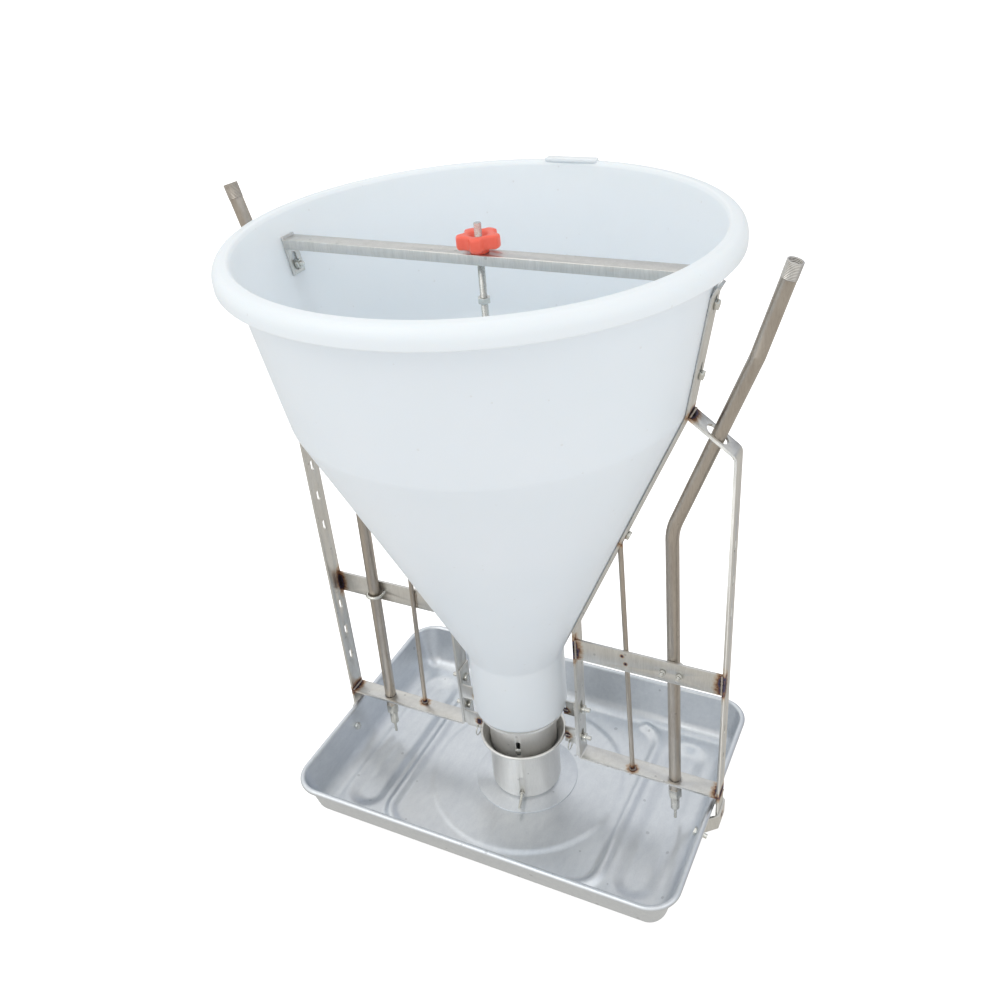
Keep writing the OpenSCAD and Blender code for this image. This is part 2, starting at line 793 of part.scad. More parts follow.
// The moulding's section between two heights, spun round and pierced for the frame bolts
module hopper_band(low_z, high_z, bolt_heights) {
    difference() {
        rotate_extrude()
            difference() {
                intersection() {
                    union() {
                        hopper_outside();
                        lip_shape(0);
                    }
                    translate([0, low_z]) square([lip_r + cut, high_z - low_z]);
                }
                difference() {
                    lip_shape(hopper_t);
                    hopper_outside();
                }
                hopper_inside();
            }
        both_sides()
            for (z = bolt_heights)
                on_wall(z) translate([-2 * hole_reach, 0, 0]) along_x(4 * hole_reach, bolt_d / 2 + hole_gap);
    }
}

module hopper_wall() {
    color([0.93, 0.95, 0.97]) {
        hopper_band(kink_z, lip_top_z, [frame_bolt_z[0], frame_bolt_z[1]]);
        translate([-pad_w / 2, lip_crest_r - 3 * pad_depth / 4, lip_top_z - hopper_t / 2])
            cube([pad_w, pad_depth, hopper_t / 2 + pad_rise]);
    }
}

module hopper_cone() {
    color([0.93, 0.95, 0.97]) hopper_band(neck_top_z, kink_z, [frame_bolt_z[2]]);
}

module hopper_neck() {
    color([0.93, 0.95, 0.97])
        difference() {
            hopper_band(neck_bottom_z, neck_top_z, []);
            translate([0, 0, neck_bottom_z - cut]) cylinder(h = hopper_t + 3 * cut, r = spigot_r + seat);
        }
}

// Crossbar

module plate_side() {
    rotate([0, wall_lean, 0])
        translate([-plate_t, -cross_w / 2, -beyond]) cube([plate_t, cross_w, 2 * beyond]);
}

// Place of the end plate's outer face at the lip's foot
plate_face = wall_top_r - hopper_t / cos(wall_lean) - pow(cross_w / 2, 2) / wall_top_r - seat;

module crossbar_plate() {
    color([0.74, 0.74, 0.72])
        difference() {
            intersection() {
                translate([plate_face, 0, lip_foot_z]) plate_side();
                translate([0, -cross_w, plate_low_z]) cube([lip_r, 2 * cross_w, plate_top_z - plate_low_z]);
            }
            on_wall(frame_bolt_z[0])
                translate([0, 0, slot_rise / 2 - bolt_d / 2])
                    oblong(slot_rise + bolt_d, bolt_d + 2 * hole_gap, -3 * hole_reach, hole_reach);
        }
}

module crossbar_plate_right() { crossbar_plate(); }
module crossbar_plate_left() { half_turn() crossbar_plate(); }

module crossbar() {
    color([0.76, 0.77, 0.79])
        difference() {
            translate([-wall_top_r, -cross_w / 2, cross_top_z - cross_h])
                cube([2 * wall_top_r, cross_w, cross_h]);
            translate([-lip_r, -cross_w / 2 + cross_t, cross_top_z - cross_h - cut])
                cube([2 * lip_r, cross_w - 2 * cross_t, cross_h - cross_t + cut]);
            both_sides()
                translate([plate_face, 0, lip_foot_z])
                    rotate([0, wall_lean, 0])
                        translate([-plate_t, -cross_w, -beyond]) cube([2 * beyond, 2 * cross_w, 2 * beyond]);
            cylinder(h = lip_top_z, r = rod_r + hole_gap);
        }
}

// Feed setting

module star_knob() {
    lobes = 5;
    knob_r = knob_d / 2;
    scallop_r = 12.5;
    scallop_at = knob_r + 4;
    color([0.93, 0.27, 0.20])
        translate([0, 0, knob_z])
            difference() {
                union() {
                    cylinder(h = knob_hub_h + cut, r = knob_hub_r);
                    translate([0, 0, knob_hub_h])
                        linear_extrude(knob_h - knob_hub_h)
                            difference() {
                                circle(knob_r);
                                for (i = [0:lobes - 1])
                                    rotate((i + 0.5) * 360 / lobes)
                                        translate([scallop_at, 0]) circle(scallop_r);
                            }
                }
                translate([0, 0, -cut]) cylinder(h = knob_h + 2 * cut, r = insert_r + screw_gap);
            }
}

module knob_insert() {
    color([0.55, 0.55, 0.54])
        translate([0, 0, knob_z])
            difference() {
                cylinder(h = insert_h, r = insert_r);
                translate([0, 0, -cut]) cylinder(h = insert_h + 2 * cut, r = rod_r + screw_gap);
            }
}

module threaded_rod() {
    color([0.72, 0.72, 0.71])
        translate([0, 0, rod_weld_z]) cylinder(h = rod_top_z - rod_weld_z, r = rod_r);
}

module lock_nut() {
    color([0.72, 0.74, 0.75])
        translate([0, 0, lock_nut_z])
            rotate([0, -90, 0])
                hex(rod_d * nut_af, lock_nut_h, rod_r + screw_gap);
}

module plain_rod() {
    color([0.68, 0.67, 0.65])
        difference() {
            translate([0, 0, rod_end_z]) cylinder(h = rod_weld_z - rod_end_z, r = rod_r);
            rotate([0, 0, bolt_turn])
                translate([-2 * rod_d, 0, guide_z]) along_x(4 * rod_d, small_bolt_d / 2 + screw_gap);
        }
}

module metering_cone() {
    tip_r = 2 * rod_r;
    hub_h = 8;
    wall = 3;
    under_r = tip_r + hub_h * (cone_r - tip_r) / (cone_h - cone_land) - wall;
    color([0.75, 0.75, 0.74])
        rotate_extrude()
            polygon([
                [rod_r + screw_gap, cone_z + cone_h - hub_h], [under_r, cone_z + cone_h - hub_h],
                [cone_r - tube_t, cone_z], [cone_r, cone_z], [cone_r, cone_z + cone_land],
                [tip_r, cone_z + cone_h], [rod_r + screw_gap, cone_z + cone_h]
            ]);
}

module guide_bolt() {
    reach = spigot_r + seat;
    color([0.80, 0.81, 0.82])
        rotate([0, 0, bolt_turn])
            translate([reach, 0, guide_z])
                rotate([0, 0, 180]) bolt(small_bolt_d, 2 * reach + small_bolt_d);
}

module guide_nut() {
    color([0.76, 0.77, 0.78])
        rotate([0, 0, bolt_turn + 180]) translate([spigot_r + seat, 0, guide_z]) nut(small_bolt_d);
}

// Side frames

module frame_slot(z) {
    on_wall(z)
        translate([0, 0, slot_rise / 2 - bolt_d / 2])
            oblong(slot_rise + bolt_d, bolt_d + 2 * hole_gap, -hole_reach, 2 * hole_reach);
}

module strap() {
    color([0.66, 0.65, 0.62])
        difference() {
            bent_bar(rounded(strap_edge, strap_bend), bar_t, bar_w);
            for (z = frame_bolt_z)
                frame_slot(z);
            for (z = bracket_bolt_z)
                translate([inner_x, 0, z + slot_rise / 2 - bolt_d / 2])
                    oblong(slot_rise + bolt_d, bolt_d + 2 * hole_gap, -hole_reach, 2 * hole_reach);
            translate([pipe_x(bottom_bar_z), pipe_y, bottom_bar_z - cut])
                cylinder(h = bar_t + 2 * cut, r = pipe_r + 1.6 * hole_gap);
        }
}

module strap_right() { strap(); }
module strap_left() { half_turn() strap(); }

module upright() {
    color([0.68, 0.68, 0.66])
        difference() {
            bent_bar(rounded(upright_edge, upright_bend), -bar_t, bar_w);
            for (z = slot_heights)
                translate([outer_x, 0, z]) oblong(slot_l, slot_w, -hole_reach, hole_reach);
            translate([pipe_hole_x, 0, pipe_hole_z])
                rotate([0, shoulder_lean, 0])
                    for (s = [-1, 1])
                        translate([s * pipe_hole_half, 0, -hole_reach])
                            cylinder(h = 2 * hole_reach, r = pipe_r + 2 * hole_gap);
            translate([pipe_hole_x, 0, pipe_hole_z])
                rotate([0, shoulder_lean, 0])
                    translate([-pipe_hole_half, -pipe_r - 2 * hole_gap, -hole_reach])
                        cube([2 * pipe_hole_half, 2 * pipe_r + 4 * hole_gap, 2 * hole_reach]);
        }
}

module upright_right() { upright(); }
module upright_left() { half_turn() upright(); }

module mid_bar() {
    color([0.76, 0.75, 0.73])
        difference() {
            translate([inner_x + bar_t, mid_bar_front, mid_bar_z])
                cube([outer_x - inner_x - 2 * bar_t, bar_t, mid_bar_h]);
            for (s = [-1, 1])
                translate([pipe_x(u_bolt_z) + s * u_leg, mid_bar_front - cut, u_bolt_z])
                    rotate([-90, 0, 0]) cylinder(h = bar_t + 2 * cut, r = u_wire_d / 2 + hole_gap / 2);
        }
}

module mid_bar_right() { mid_bar(); }
module mid_bar_left() { half_turn() mid_bar(); }

module brace_rod() {
    foot = [brace_foot_x, bottom_bar_z + bar_t];
    rise = wall_r_height(brace_top_x - seat - face_step) - foot.y;
    tilt = atan2(brace_top_x - foot.x, rise);
    color([0.70, 0.62, 0.53])
        difference() {
            translate([foot.x, mid_bar_back + seat + brace_d / 2, foot.y])
                rotate([0, tilt, 0])
                    translate([0, 0, -brace_d]) cylinder(h = rise + 3 * brace_d, r = brace_d / 2);
            translate([0, -bar_w, foot.y - 4 * brace_d]) cube([outer_x, 2 * bar_w, 4 * brace_d]);
            on_wall(foot.y + rise)
                translate([-kink_r, -bar_w, -kink_r]) cube([kink_r + seat + bar_t, 2 * bar_w, 2 * kink_r]);
        }
}

// Height at which the cone has outer radius r
function wall_r_height(r) = neck_top_z + (r - neck_r) / cone_slope;

module brace_rod_right() { brace_rod(); }
module brace_rod_left() { half_turn() brace_rod(); }

// Water pipes

module water_pipe(path, roll = 0) {
    last = len(path) - 1;
    heading = atan2(path[last].x - path[last - 1].x, path[last].y - path[last - 1].y);
    color([0.66, 0.62, 0.57])
        translate([0, pipe_y, 0])
            difference() {
                union() {
                    bent_round(path, pipe_r, pipe_bend_r, roll = roll);
                    rolled(path, roll)
                        translate([path[last].x, 0, path[last].y])
                            rotate([0, heading, 0])
                                translate([0, 0, -thread_l]) cylinder(h = thread_l, r = thread_d / 2);
                }
                bent_round(path, pipe_r - pipe_t, pipe_bend_r, overrun = cut, roll = roll);
            }
}

module water_pipe_right() { water_pipe(pipe_path_right); }

module water_pipe_left() { half_turn() water_pipe(pipe_path_left, left_pipe_roll); }

module u_bolt() {
    color([0.80, 0.80, 0.78])
        translate([pipe_x(u_bolt_z), pipe_y, u_bolt_z]) {
            rotate_extrude(angle = 180) translate([u_leg, 0]) circle(u_wire_d / 2);
            for (s = [-1, 1])
                translate([s * u_leg, mid_bar_front - u_tail - pipe_y, 0])
                    rotate([-90, 0, 0]) cylinder(h = pipe_y - mid_bar_front + u_tail, r = u_wire_d / 2);
        }
}

module u_bolt_right() { u_bolt(); }
module u_bolt_left() { half_turn() u_bolt(); }

module u_bolt_nuts() {
    color([0.74, 0.75, 0.74])
        both_sides()
            for (s = [-1, 1])
                translate([pipe_x(u_bolt_z) + s * u_leg, mid_bar_front - seat, u_bolt_z])
                    rotate([0, 0, -90]) nut(u_wire_d);
}

// Drinkers

// A place at the pipe's lower end, with Z down along the pipe
module at_drinker() {
    translate([pipe_low.x, pipe_y, pipe_low.y]) rotate([0, 180 + pipe_lean, 0]) children();
}

module drinker_socket() {
    color([0.72, 0.71, 0.66])
        at_drinker()
            difference() {
                union() {
                    rotate([0, -90, 0]) hex(socket_af, socket_l);
                    translate([0, 0, -12]) cylinder(h = 12 + cut, r = pipe_r - pipe_t - screw_gap);
                }
                translate([0, 0, -12 - cut]) cylinder(h = socket_l + 12 + 2 * cut, r = socket_bore_r);
            }
}

module drinker_socket_right() { drinker_socket(); }
module drinker_socket_left() { half_turn() drinker_socket(); }

module drinker_body() {
    color([0.74, 0.72, 0.68])
        at_drinker()
            translate([0, 0, socket_l])
                difference() {
                    cylinder(h = drinker_l, r = drinker_d / 2);
                    translate([0, 0, -cut]) cylinder(h = 4 * cut, r = socket_bore_r);
                    translate([0, 0, 2 * cut]) cylinder(h = drinker_l - mouth_l - 2 * cut, r = chamber_r);
                    translate([0, 0, drinker_l / 2]) cylinder(h = drinker_l, r = mouth_r);
                }
}

module drinker_body_right() { drinker_body(); }
module drinker_body_left() { half_turn() drinker_body(); }

module drinker_pin() {
    seat_z = socket_l + drinker_l - mouth_l - seal_t - 0.85;
    color([0.82, 0.82, 0.80])
        at_drinker() {
            translate([0, 0, seat_z - pin_head_l]) cylinder(h = pin_head_l, r = pin_head_r);
            translate([0, 0, seat_z - cut])
                cylinder(h = socket_l + drinker_l + pin_reach - seat_z + cut, r = pin_d / 2);
        }
}

module drinker_pin_right() { drinker_pin(); }
module drinker_pin_left() { half_turn() drinker_pin(); }

module drinker_seals() {
    color([0.12, 0.12, 0.12])
        both_sides()
            at_drinker()
                translate([0, 0, socket_l + drinker_l - mouth_l - seal_t])
                    difference() {
                        cylinder(h = seal_t, r = chamber_r - screw_gap);
                        translate([0, 0, -cut]) cylinder(h = seal_t + 2 * cut, r = mouth_r);
                    }
}

// Neck brackets

module neck_bracket() {
    color([0.66, 0.64, 0.58])
        difference() {
            union() {
                translate([inner_x - bracket_t, -bar_w / 2, bracket_z[0]])
                    cube([bracket_t, bracket_y + bracket_t + bar_w / 2, bracket_z[1] - bracket_z[0]]);
                for (tab = [low_tab_z, high_tab_z])
                    translate([flange_r - tab_lap, bracket_y, max(tab[0], bracket_z[0])])
                        cube([inner_x - flange_r + tab_lap, bracket_t, tab[1] - max(tab[0], bracket_z[0])]);
                translate([flange_r - tab_lap, bracket_y, low_tab_z[0]])
                    cube([inner_x - flange_r + tab_lap - tab_gap, bracket_t, low_tab_z[1] - low_tab_z[0]]);
            }
            cylinder(h = flange_z - cut, r = tube_lip_r + seat);
            cylinder(h = flange_z + flange_t + seat / 2, r = flange_r + seat);
            translate([0, 0, flange_z + flange_t]) cylinder(h = neck_top_z, r = neck_r + seat);
            for (z = bracket_bolt_z)
                translate([inner_x - 2 * bracket_t, 0, z]) along_x(4 * bracket_t, bolt_d / 2 + hole_gap);
            translate([ring_hole.x, 0, ring_hole.y])
                rotate([-90, 0, 0]) cylinder(h = bar_w, r = ring_wire_d / 2 + ring_gap);
        }
}

module neck_bracket_right() { neck_bracket(); }
module neck_bracket_left() { half_turn() neck_bracket(); }

module hanging_ring() {
    color([0.82, 0.82, 0.82])
        translate([ring_hole.x, bracket_y + bracket_t / 2, ring_hole.y - ring_r])
            rotate([0, 90, 0]) rotate_extrude() translate([ring_r, 0]) circle(ring_wire_d / 2, $fn = 24);
}

module hanging_ring_right() { hanging_ring(); }
module hanging_ring_left() { half_turn() hanging_ring(); }

// End clips

// The hat-shaped strip seen from above, without its flanges
module clip_outline() {
    crown_y = clip_crown_w / 2;
    leg_y = clip_bolt_y - clip_flange_w / 2 + clip_t;
    for (s = [0, 1])
        mirror([0, s])
            polygon([
                [outer_x, 0], [outer_x + clip_t, 0], [outer_x + clip_t, crown_y],
                [clip_wall_x + clip_t, leg_y + clip_t], [clip_wall_x - clip_h, leg_y + clip_t],
                [clip_wall_x - clip_h, leg_y - clip_t],
                [clip_wall_x, leg_y - clip_t], [outer_x, crown_y - clip_t / 2]
            ]);
}

module end_clip() {
    color([0.68, 0.66, 0.61])
        difference() {
            union() {
                translate([0, 0, clip_bolt_z - clip_h / 2]) linear_extrude(clip_h) clip_outline();
                for (s = [-1, 1])
                    on_end_wall(s * clip_bolt_y)
                        translate([seat, -clip_flange_w / 2, -clip_h / 2])
                            cube([clip_t, clip_flange_w, clip_h]);
            }
            on_end_wall(0)
                translate([seat - 3 * clip_h, -trough_w, -2 * clip_h])
                    cube([3 * clip_h, 2 * trough_w, 4 * clip_h]);
            for (s = [-1, 1])
                on_end_wall(s * clip_bolt_y)
                    translate([-hole_reach, 0, 0]) along_x(2 * hole_reach, bolt_d / 2 + hole_gap);
        }
}

module end_clip_right() { end_clip(); }
module end_clip_left() { half_turn() end_clip(); }

// Fastener groups

module hopper_bolts() {
    color([0.78, 0.80, 0.83])
        both_sides()
            for (z = frame_bolt_z)
                on_wall(z)
                    translate([2 * seat + bar_t, 0, 0])
                        rotate([0, 0, 180]) bolt(bolt_d, bar_t + hopper_t + plate_t + bolt_d * nut_depth + 6);
}

module hopper_nuts() {
    color([0.74, 0.76, 0.78])
        both_sides()
            for (z = frame_bolt_z)
                on_wall(z)
                    translate([-hopper_t - seat - (z == frame_bolt_z[0] ? plate_t + 1 : 0), 0, 0])
                        translate([-bolt_d * nut_depth, 0, 0])
                            nut(bolt_d);
}

module bracket_bolts() {
    color([0.76, 0.77, 0.78])
        both_sides()
            for (z = bracket_bolt_z)
                translate([inner_x - bracket_t - seat, 0, z])
                    bolt(bolt_d, bracket_t + bar_t + bolt_d * nut_depth + 9);
}

module bracket_nuts() {
    color([0.74, 0.75, 0.76])
        both_sides()
            for (z = bracket_bolt_z)
                translate([inner_x + bar_t + seat, 0, z]) nut(bolt_d);
}

module clip_bolts() {
    color([0.76, 0.77, 0.78])
        both_sides()
            for (s = [-1, 1])
                on_end_wall(s * clip_bolt_y)
                    translate([-sheet_t - seat, 0, 0])
                        bolt(bolt_d, sheet_t + clip_t + bolt_d * nut_depth + 7);
}

module clip_nuts() {
    color([0.74, 0.75, 0.76])
        both_sides()
            for (s = [-1, 1])
                on_end_wall(s * clip_bolt_y) translate([clip_t + 2 * seat, 0, 0]) nut(bolt_d);
}

trough();
skirt_cone();
drop_tube();
spigot();
feed_sleeve();
sleeve_bolt();
sleeve_nut();
hopper_wall();
hopper_cone();
hopper_neck();
crossbar();
crossbar_plate_right();
crossbar_plate_left();
star_knob();
knob_insert();
threaded_rod();
lock_nut();
plain_rod();
metering_cone();
guide_bolt();
guide_nut();
strap_right();
strap_left();
upright_right();
upright_left();
mid_bar_right();
mid_bar_left();
brace_rod_right();
brace_rod_left();
water_pipe_right();
water_pipe_left();
u_bolt_right();
u_bolt_left();
u_bolt_nuts();
neck_bracket_right();
neck_bracket_left();
bracket_bolts();
bracket_nuts();
hopper_bolts();
hopper_nuts();
end_clip_right();
end_clip_left();
clip_bolts();
clip_nuts();
drinker_socket_right();
drinker_socket_left();
drinker_body_right();
drinker_body_left();
drinker_pin_right();
drinker_pin_left();
drinker_seals();
hanging_ring_right();
hanging_ring_left();
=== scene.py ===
"""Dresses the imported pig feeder: hopper, trough, flat-bar side frames, pipes, drinkers and fasteners."""

import json
import logging
import math
from collections.abc import Sequence
from dataclasses import dataclass, field
from enum import Enum

import bmesh
import bpy
from mathutils import Matrix, Vector, noise

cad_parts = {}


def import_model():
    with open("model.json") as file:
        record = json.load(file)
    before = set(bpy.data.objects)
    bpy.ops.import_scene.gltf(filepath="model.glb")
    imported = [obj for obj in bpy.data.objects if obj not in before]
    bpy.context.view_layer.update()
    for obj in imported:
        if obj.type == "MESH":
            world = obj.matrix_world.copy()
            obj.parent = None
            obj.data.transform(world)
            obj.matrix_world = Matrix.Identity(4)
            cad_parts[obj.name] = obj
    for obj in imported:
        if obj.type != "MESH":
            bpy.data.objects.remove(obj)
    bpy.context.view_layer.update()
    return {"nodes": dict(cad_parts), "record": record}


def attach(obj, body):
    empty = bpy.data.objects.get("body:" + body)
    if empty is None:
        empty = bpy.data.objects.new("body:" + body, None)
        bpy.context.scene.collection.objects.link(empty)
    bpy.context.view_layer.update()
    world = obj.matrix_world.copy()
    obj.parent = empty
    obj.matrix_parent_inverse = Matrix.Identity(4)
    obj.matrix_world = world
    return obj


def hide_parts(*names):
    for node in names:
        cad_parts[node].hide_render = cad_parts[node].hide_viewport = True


log = logging.getLogger("feeder")

MM = 0.001
HALF_TURN = Matrix.Rotation(math.pi, 4, "Z")
WELDED = 0.01
FLAT = math.radians(0.6)
SHARP = math.radians(38)
STRAIGHT = math.radians(89.9)

Colour = tuple[float, float, float]
Place = tuple[float, float, float]


class Body(Enum):
    """The groups of pieces that move together."""

    FEEDER = "feeder"
    KNOB = "knob"
    ROD = "lifting_rod"
    SLEEVE = "sleeve"
    PIN_RIGHT = "pin_right"
    PIN_LEFT = "pin_left"
    RING_RIGHT = "ring_right"
    RING_LEFT = "ring_left"


class Slot(Enum):
    """The record's finishes."""

    HOPPER = "hopper_plastic"
    KNOB = "knob_plastic"
    SEAL = "seal_rubber"
    TROUGH = "trough_steel"
    TUBE = "tube_steel"
    BAR = "bar_steel"
    ROD = "rod_steel"
    DRINKER = "drinker_steel"
    FASTENER = "fastener_steel"


def rounded_line(corners: Sequence[tuple[float, float, float]], steps: int = 6) -> list[Vector]:
    """Rounds the corners of a line in the XZ plane.

    Args:
        corners: x, z and corner radius of each point, in millimetres.
        steps: Segments in each rounded corner.

    Returns:
        The points of the rounded line.
    """
    spots = [Vector((x, 0.0, z)) for x, z, _ in corners]
    line = [spots[0]]
    for here, before, after, (_, _, radius) in zip(spots[1:-1], spots, spots[2:], corners[1:-1]):
        to_before = (before - here).normalized()
        to_after = (after - here).normalized()
        half = to_before.angle(to_after) / 2
        if radius == 0 or half > STRAIGHT:
            line.append(here)
            continue
        centre = here + (to_before + to_after).normalized() * radius / math.sin(half)
        start = here + to_before * radius / math.tan(half) - centre
        end = here + to_after * radius / math.tan(half) - centre
        turn = start.angle(end)
        for step in range(steps + 1):
            share = step / steps
            reach = math.sin(turn * (1 - share)) * start + math.sin(turn * share) * end
            line.append(centre + reach / math.sin(turn))
    line.append(spots[-1])
    return line


@dataclass
class Piece:
    """A visible piece under construction, drawn in millimetres in the feeder's own frame."""

    name: str
    body: Body
    slot: Slot
    replaces: tuple[str, ...] = ()
    mesh: bmesh.types.BMesh = field(default_factory=bmesh.new)

    @classmethod
    def copy(cls, node: bpy.types.Object, body: Body, slot: Slot) -> "Piece":
        """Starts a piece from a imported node.

        Args:
            node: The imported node.
            body: The body it moves with.
            slot: Its finish in the record.

        Returns:
            The piece, which replaces the node.
        """
        piece = cls(node.name + "_dressed", body, slot, (node.name,))
        piece.mesh.from_mesh(node.data)
        piece.place(Matrix.Scale(1 / MM, 4) @ node.matrix_world)
        piece.weld()
        return piece

    def soften(self, width: float) -> None:
        """Joins flat facets and breaks the sharp edges.

        Args:
            width: Width of the broken edges.
        """
        bmesh.ops.dissolve_limit(
            self.mesh, angle_limit=FLAT, verts=list(self.mesh.verts), edges=list(self.mesh.edges)
        )
        sharp = [e for e in self.mesh.edges if e.is_manifold and e.calc_face_angle() > SHARP]
        bmesh.ops.bevel(
            self.mesh,
            geom=sharp,
            offset=width,
            offset_type="OFFSET",
            segments=2,
            profile=0.5,
            affect="EDGES",
            clamp_overlap=True,
            material=-1,
        )

    def blob(self, at: Vector, radius: float, squash: Place) -> None:
        """Adds one ripple of weld metal.

        Args:
            at: Its middle.
            radius: Its radius.
            squash: Its share of that radius along each axis.
        """
        move = Matrix.Translation(at) @ Matrix.Diagonal((*squash, 1.0))
        bmesh.ops.create_icosphere(self.mesh, subdivisions=2, radius=radius, matrix=move)

    def line(self, points: Sequence[Vector], closed: bool = False) -> list[bmesh.types.BMEdge]:
        """Draws a line of edges.

        Args:
            points: The places that the line runs through.
            closed: Whether the line ends where it starts.

        Returns:
            The new edges.
        """
        spots = [self.mesh.verts.new(p) for p in points]
        pairs = list(zip(spots, spots[1:]))
        if closed:
            pairs.append((spots[-1], spots[0]))
        return [self.mesh.edges.new(pair) for pair in pairs]

    def spin(self, edges: list[bmesh.types.BMEdge], steps: int, degrees: float = 360.0) -> None:
        """Turns edges about the Z axis.

        Args:
            edges: The line to turn.
            steps: Segments round the turn.
            degrees: Angle of the turn.
        """
        spots = list({v for e in edges for v in e.verts})
        bmesh.ops.spin(
            self.mesh,
            geom=[*spots, *edges],
            cent=(0, 0, 0),
            axis=(0, 0, 1),
            angle=math.radians(degrees),
            steps=steps,
            use_merge=degrees == 360.0,
        )

    def pull(self, edges: list[bmesh.types.BMEdge], way: Vector, steps: int) -> None:
        """Draws edges out into a straight strip.

        Args:
            edges: The line to draw out.
            way: How far and where.
            steps: Segments along the strip.
        """
        spots = list({v for e in edges for v in e.verts})
        bmesh.ops.spin(
            self.mesh,
            geom=[*spots, *edges],
            cent=(0, 0, 0),
            axis=(0, 0, 1),
            dvec=way / steps,
            angle=0.0,
            steps=steps,
        )

    def place(self, matrix: Matrix, verts: list[bmesh.types.BMVert] | None = None) -> None:
        """Moves what has been drawn.

        Args:
            matrix: The move.
            verts: What to move; everything if left out.
        """
        bmesh.ops.transform(self.mesh, matrix=matrix, verts=verts or list(self.mesh.verts))

    def weld(self, gap: float = WELDED) -> None:
        """Joins vertices that lie together."""
        bmesh.ops.remove_doubles(self.mesh, verts=list(self.mesh.verts), dist=gap)

    def face_out(self) -> None:
        """Turns every face outwards."""
        bmesh.ops.recalc_face_normals(self.mesh, faces=list(self.mesh.faces))

    def finish(self, material: bpy.types.Material, crease: float = 35.0) -> bpy.types.Object:
        """Makes the piece an object on its body.

        Args:
            material: Its finish.
            crease: Angle in degrees past which an edge stays sharp.

        Returns:
            The finished object.
        """
        bmesh.ops.scale(self.mesh, vec=(MM, MM, MM), verts=list(self.mesh.verts))
        data = bpy.data.meshes.new(self.name)
        self.mesh.to_mesh(data)
        self.mesh.free()
        data.shade_smooth()
        data.set_sharp_from_angle(angle=math.radians(crease))
        data.materials.append(material)
        made = bpy.data.objects.new(self.name, data)
        bpy.context.scene.collection.objects.link(made)
        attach(made, self.body.value)
        if self.replaces:
            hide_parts(*self.replaces)
        log.info("%s: %d faces", self.name, len(data.polygons))
        return made


class Graph:
    """A node tree with short calls to add and join its nodes."""

    def __init__(self, tree: bpy.types.NodeTree) -> None:
        """Wraps a tree.

        Args:
            tree: The tree to add nodes to.
        """
        self.tree = tree

    def add(self, kind: str, settings: dict[str, object] | None = None, **inputs: object) -> bpy.types.Node:
        """Adds a node.

        Args:
            kind: The node's type after "ShaderNode".
            settings: The node's own properties.
            **inputs: Values or sockets for its inputs, with _ for a space.

        Returns:
            The new node.
        """
        node = self.tree.nodes.new("ShaderNode" + kind)
        for key, value in (settings or {}).items():
            setattr(node, key, value)
        for key, value in inputs.items():
            self.feed(node.inputs[key.replace("_", " ")], value)
        return node

    def feed(self, socket: bpy.types.NodeSocket, value: object) -> None:
        """Sets a socket to a value, or links it to another socket.

        Args:
            socket: The input.
            value: A number, vector or colour, or the socket to link from.
        """
        if isinstance(value, bpy.types.NodeSocket):
            self.tree.links.new(value, socket)
        elif socket.type == "RGBA":
            socket.default_value = (*value, 1.0)
        else:
            socket.default_value = value

    def math(self, operation: str, *values: object) -> bpy.types.NodeSocket:
        """Adds a Math node.

        Args:
            operation: What it works out.
            *values: Numbers or sockets for its inputs.

        Returns:
            Its result.
        """
        node = self.add("Math", {"operation": operation})
        for socket, value in zip(node.inputs, values):
            self.feed(socket, value)
        return node.outputs[0]

    def vector(self, operation: str, *values: object) -> bpy.types.Node:
        """Adds a Vector Math node.

        Args:
            operation: What it works out.
            *values: Vectors or sockets for its inputs.

        Returns:
            The node.
        """
        node = self.add("VectorMath", {"operation": operation})
        for socket, value in zip(node.inputs, values):
            self.feed(socket, value)
        return node

    def mix(self, factor: object, first: object, second: object) -> bpy.types.NodeSocket:
        """Mixes two colours.

        Args:
            factor: The second colour's share.
            first: One colour.
            second: The other colour.

        Returns:
            The mixed colour.
        """
        node = self.add("Mix", {"data_type": "RGBA"})
        self.feed(node.inputs[0], factor)
        self.feed(node.inputs[6], first)
        self.feed(node.inputs[7], second)
        return node.outputs[2]

    def ramp(self, factor: object, stops: Sequence[tuple[float, Colour]]) -> bpy.types.NodeSocket:
        """Adds a colour ramp.

        Args:
            factor: Where to read it.
            stops: Place and colour of each stop.

        Returns:
            The ramp's colour.
        """
        node = self.add("ValToRGB", Fac=factor)
        bands = node.color_ramp.elements
        while len(bands) < len(stops):
            bands.new(1.0)
        for band, (place, colour) in zip(bands, stops):
            band.position = place
            band.color = (*colour, 1.0)
        return node.outputs["Color"]

    def span(
        self, value: object, low: float, high: float, to_low: float = 0.0, to_high: float = 1.0
    ) -> bpy.types.NodeSocket:
        """Maps a value from one span to another, and holds it there.

        Args:
            value: The value.
            low: One end of its span.
            high: The other end.
            to_low: What the first end becomes.
            to_high: What the other end becomes.

        Returns:
            The mapped value.
        """
        node = self.add("MapRange", {"clamp": True}, Value=value)
        for socket, limit in zip(list(node.inputs)[1:5], (low, high, to_low, to_high)):
            socket.default_value = limit
        return node.outputs[0]


@dataclass(frozen=True)
class Scorch:
    """Heat tint on steel beside a weld.

    Attributes:
        centre: Its middle in millimetres, in the right half of the feeder.
        reach: How far the last straw tint runs.
        stretch: How much shorter it is along each axis.
    """

    centre: Place
    reach: float
    stretch: Place = (1.0, 1.0, 1.0)


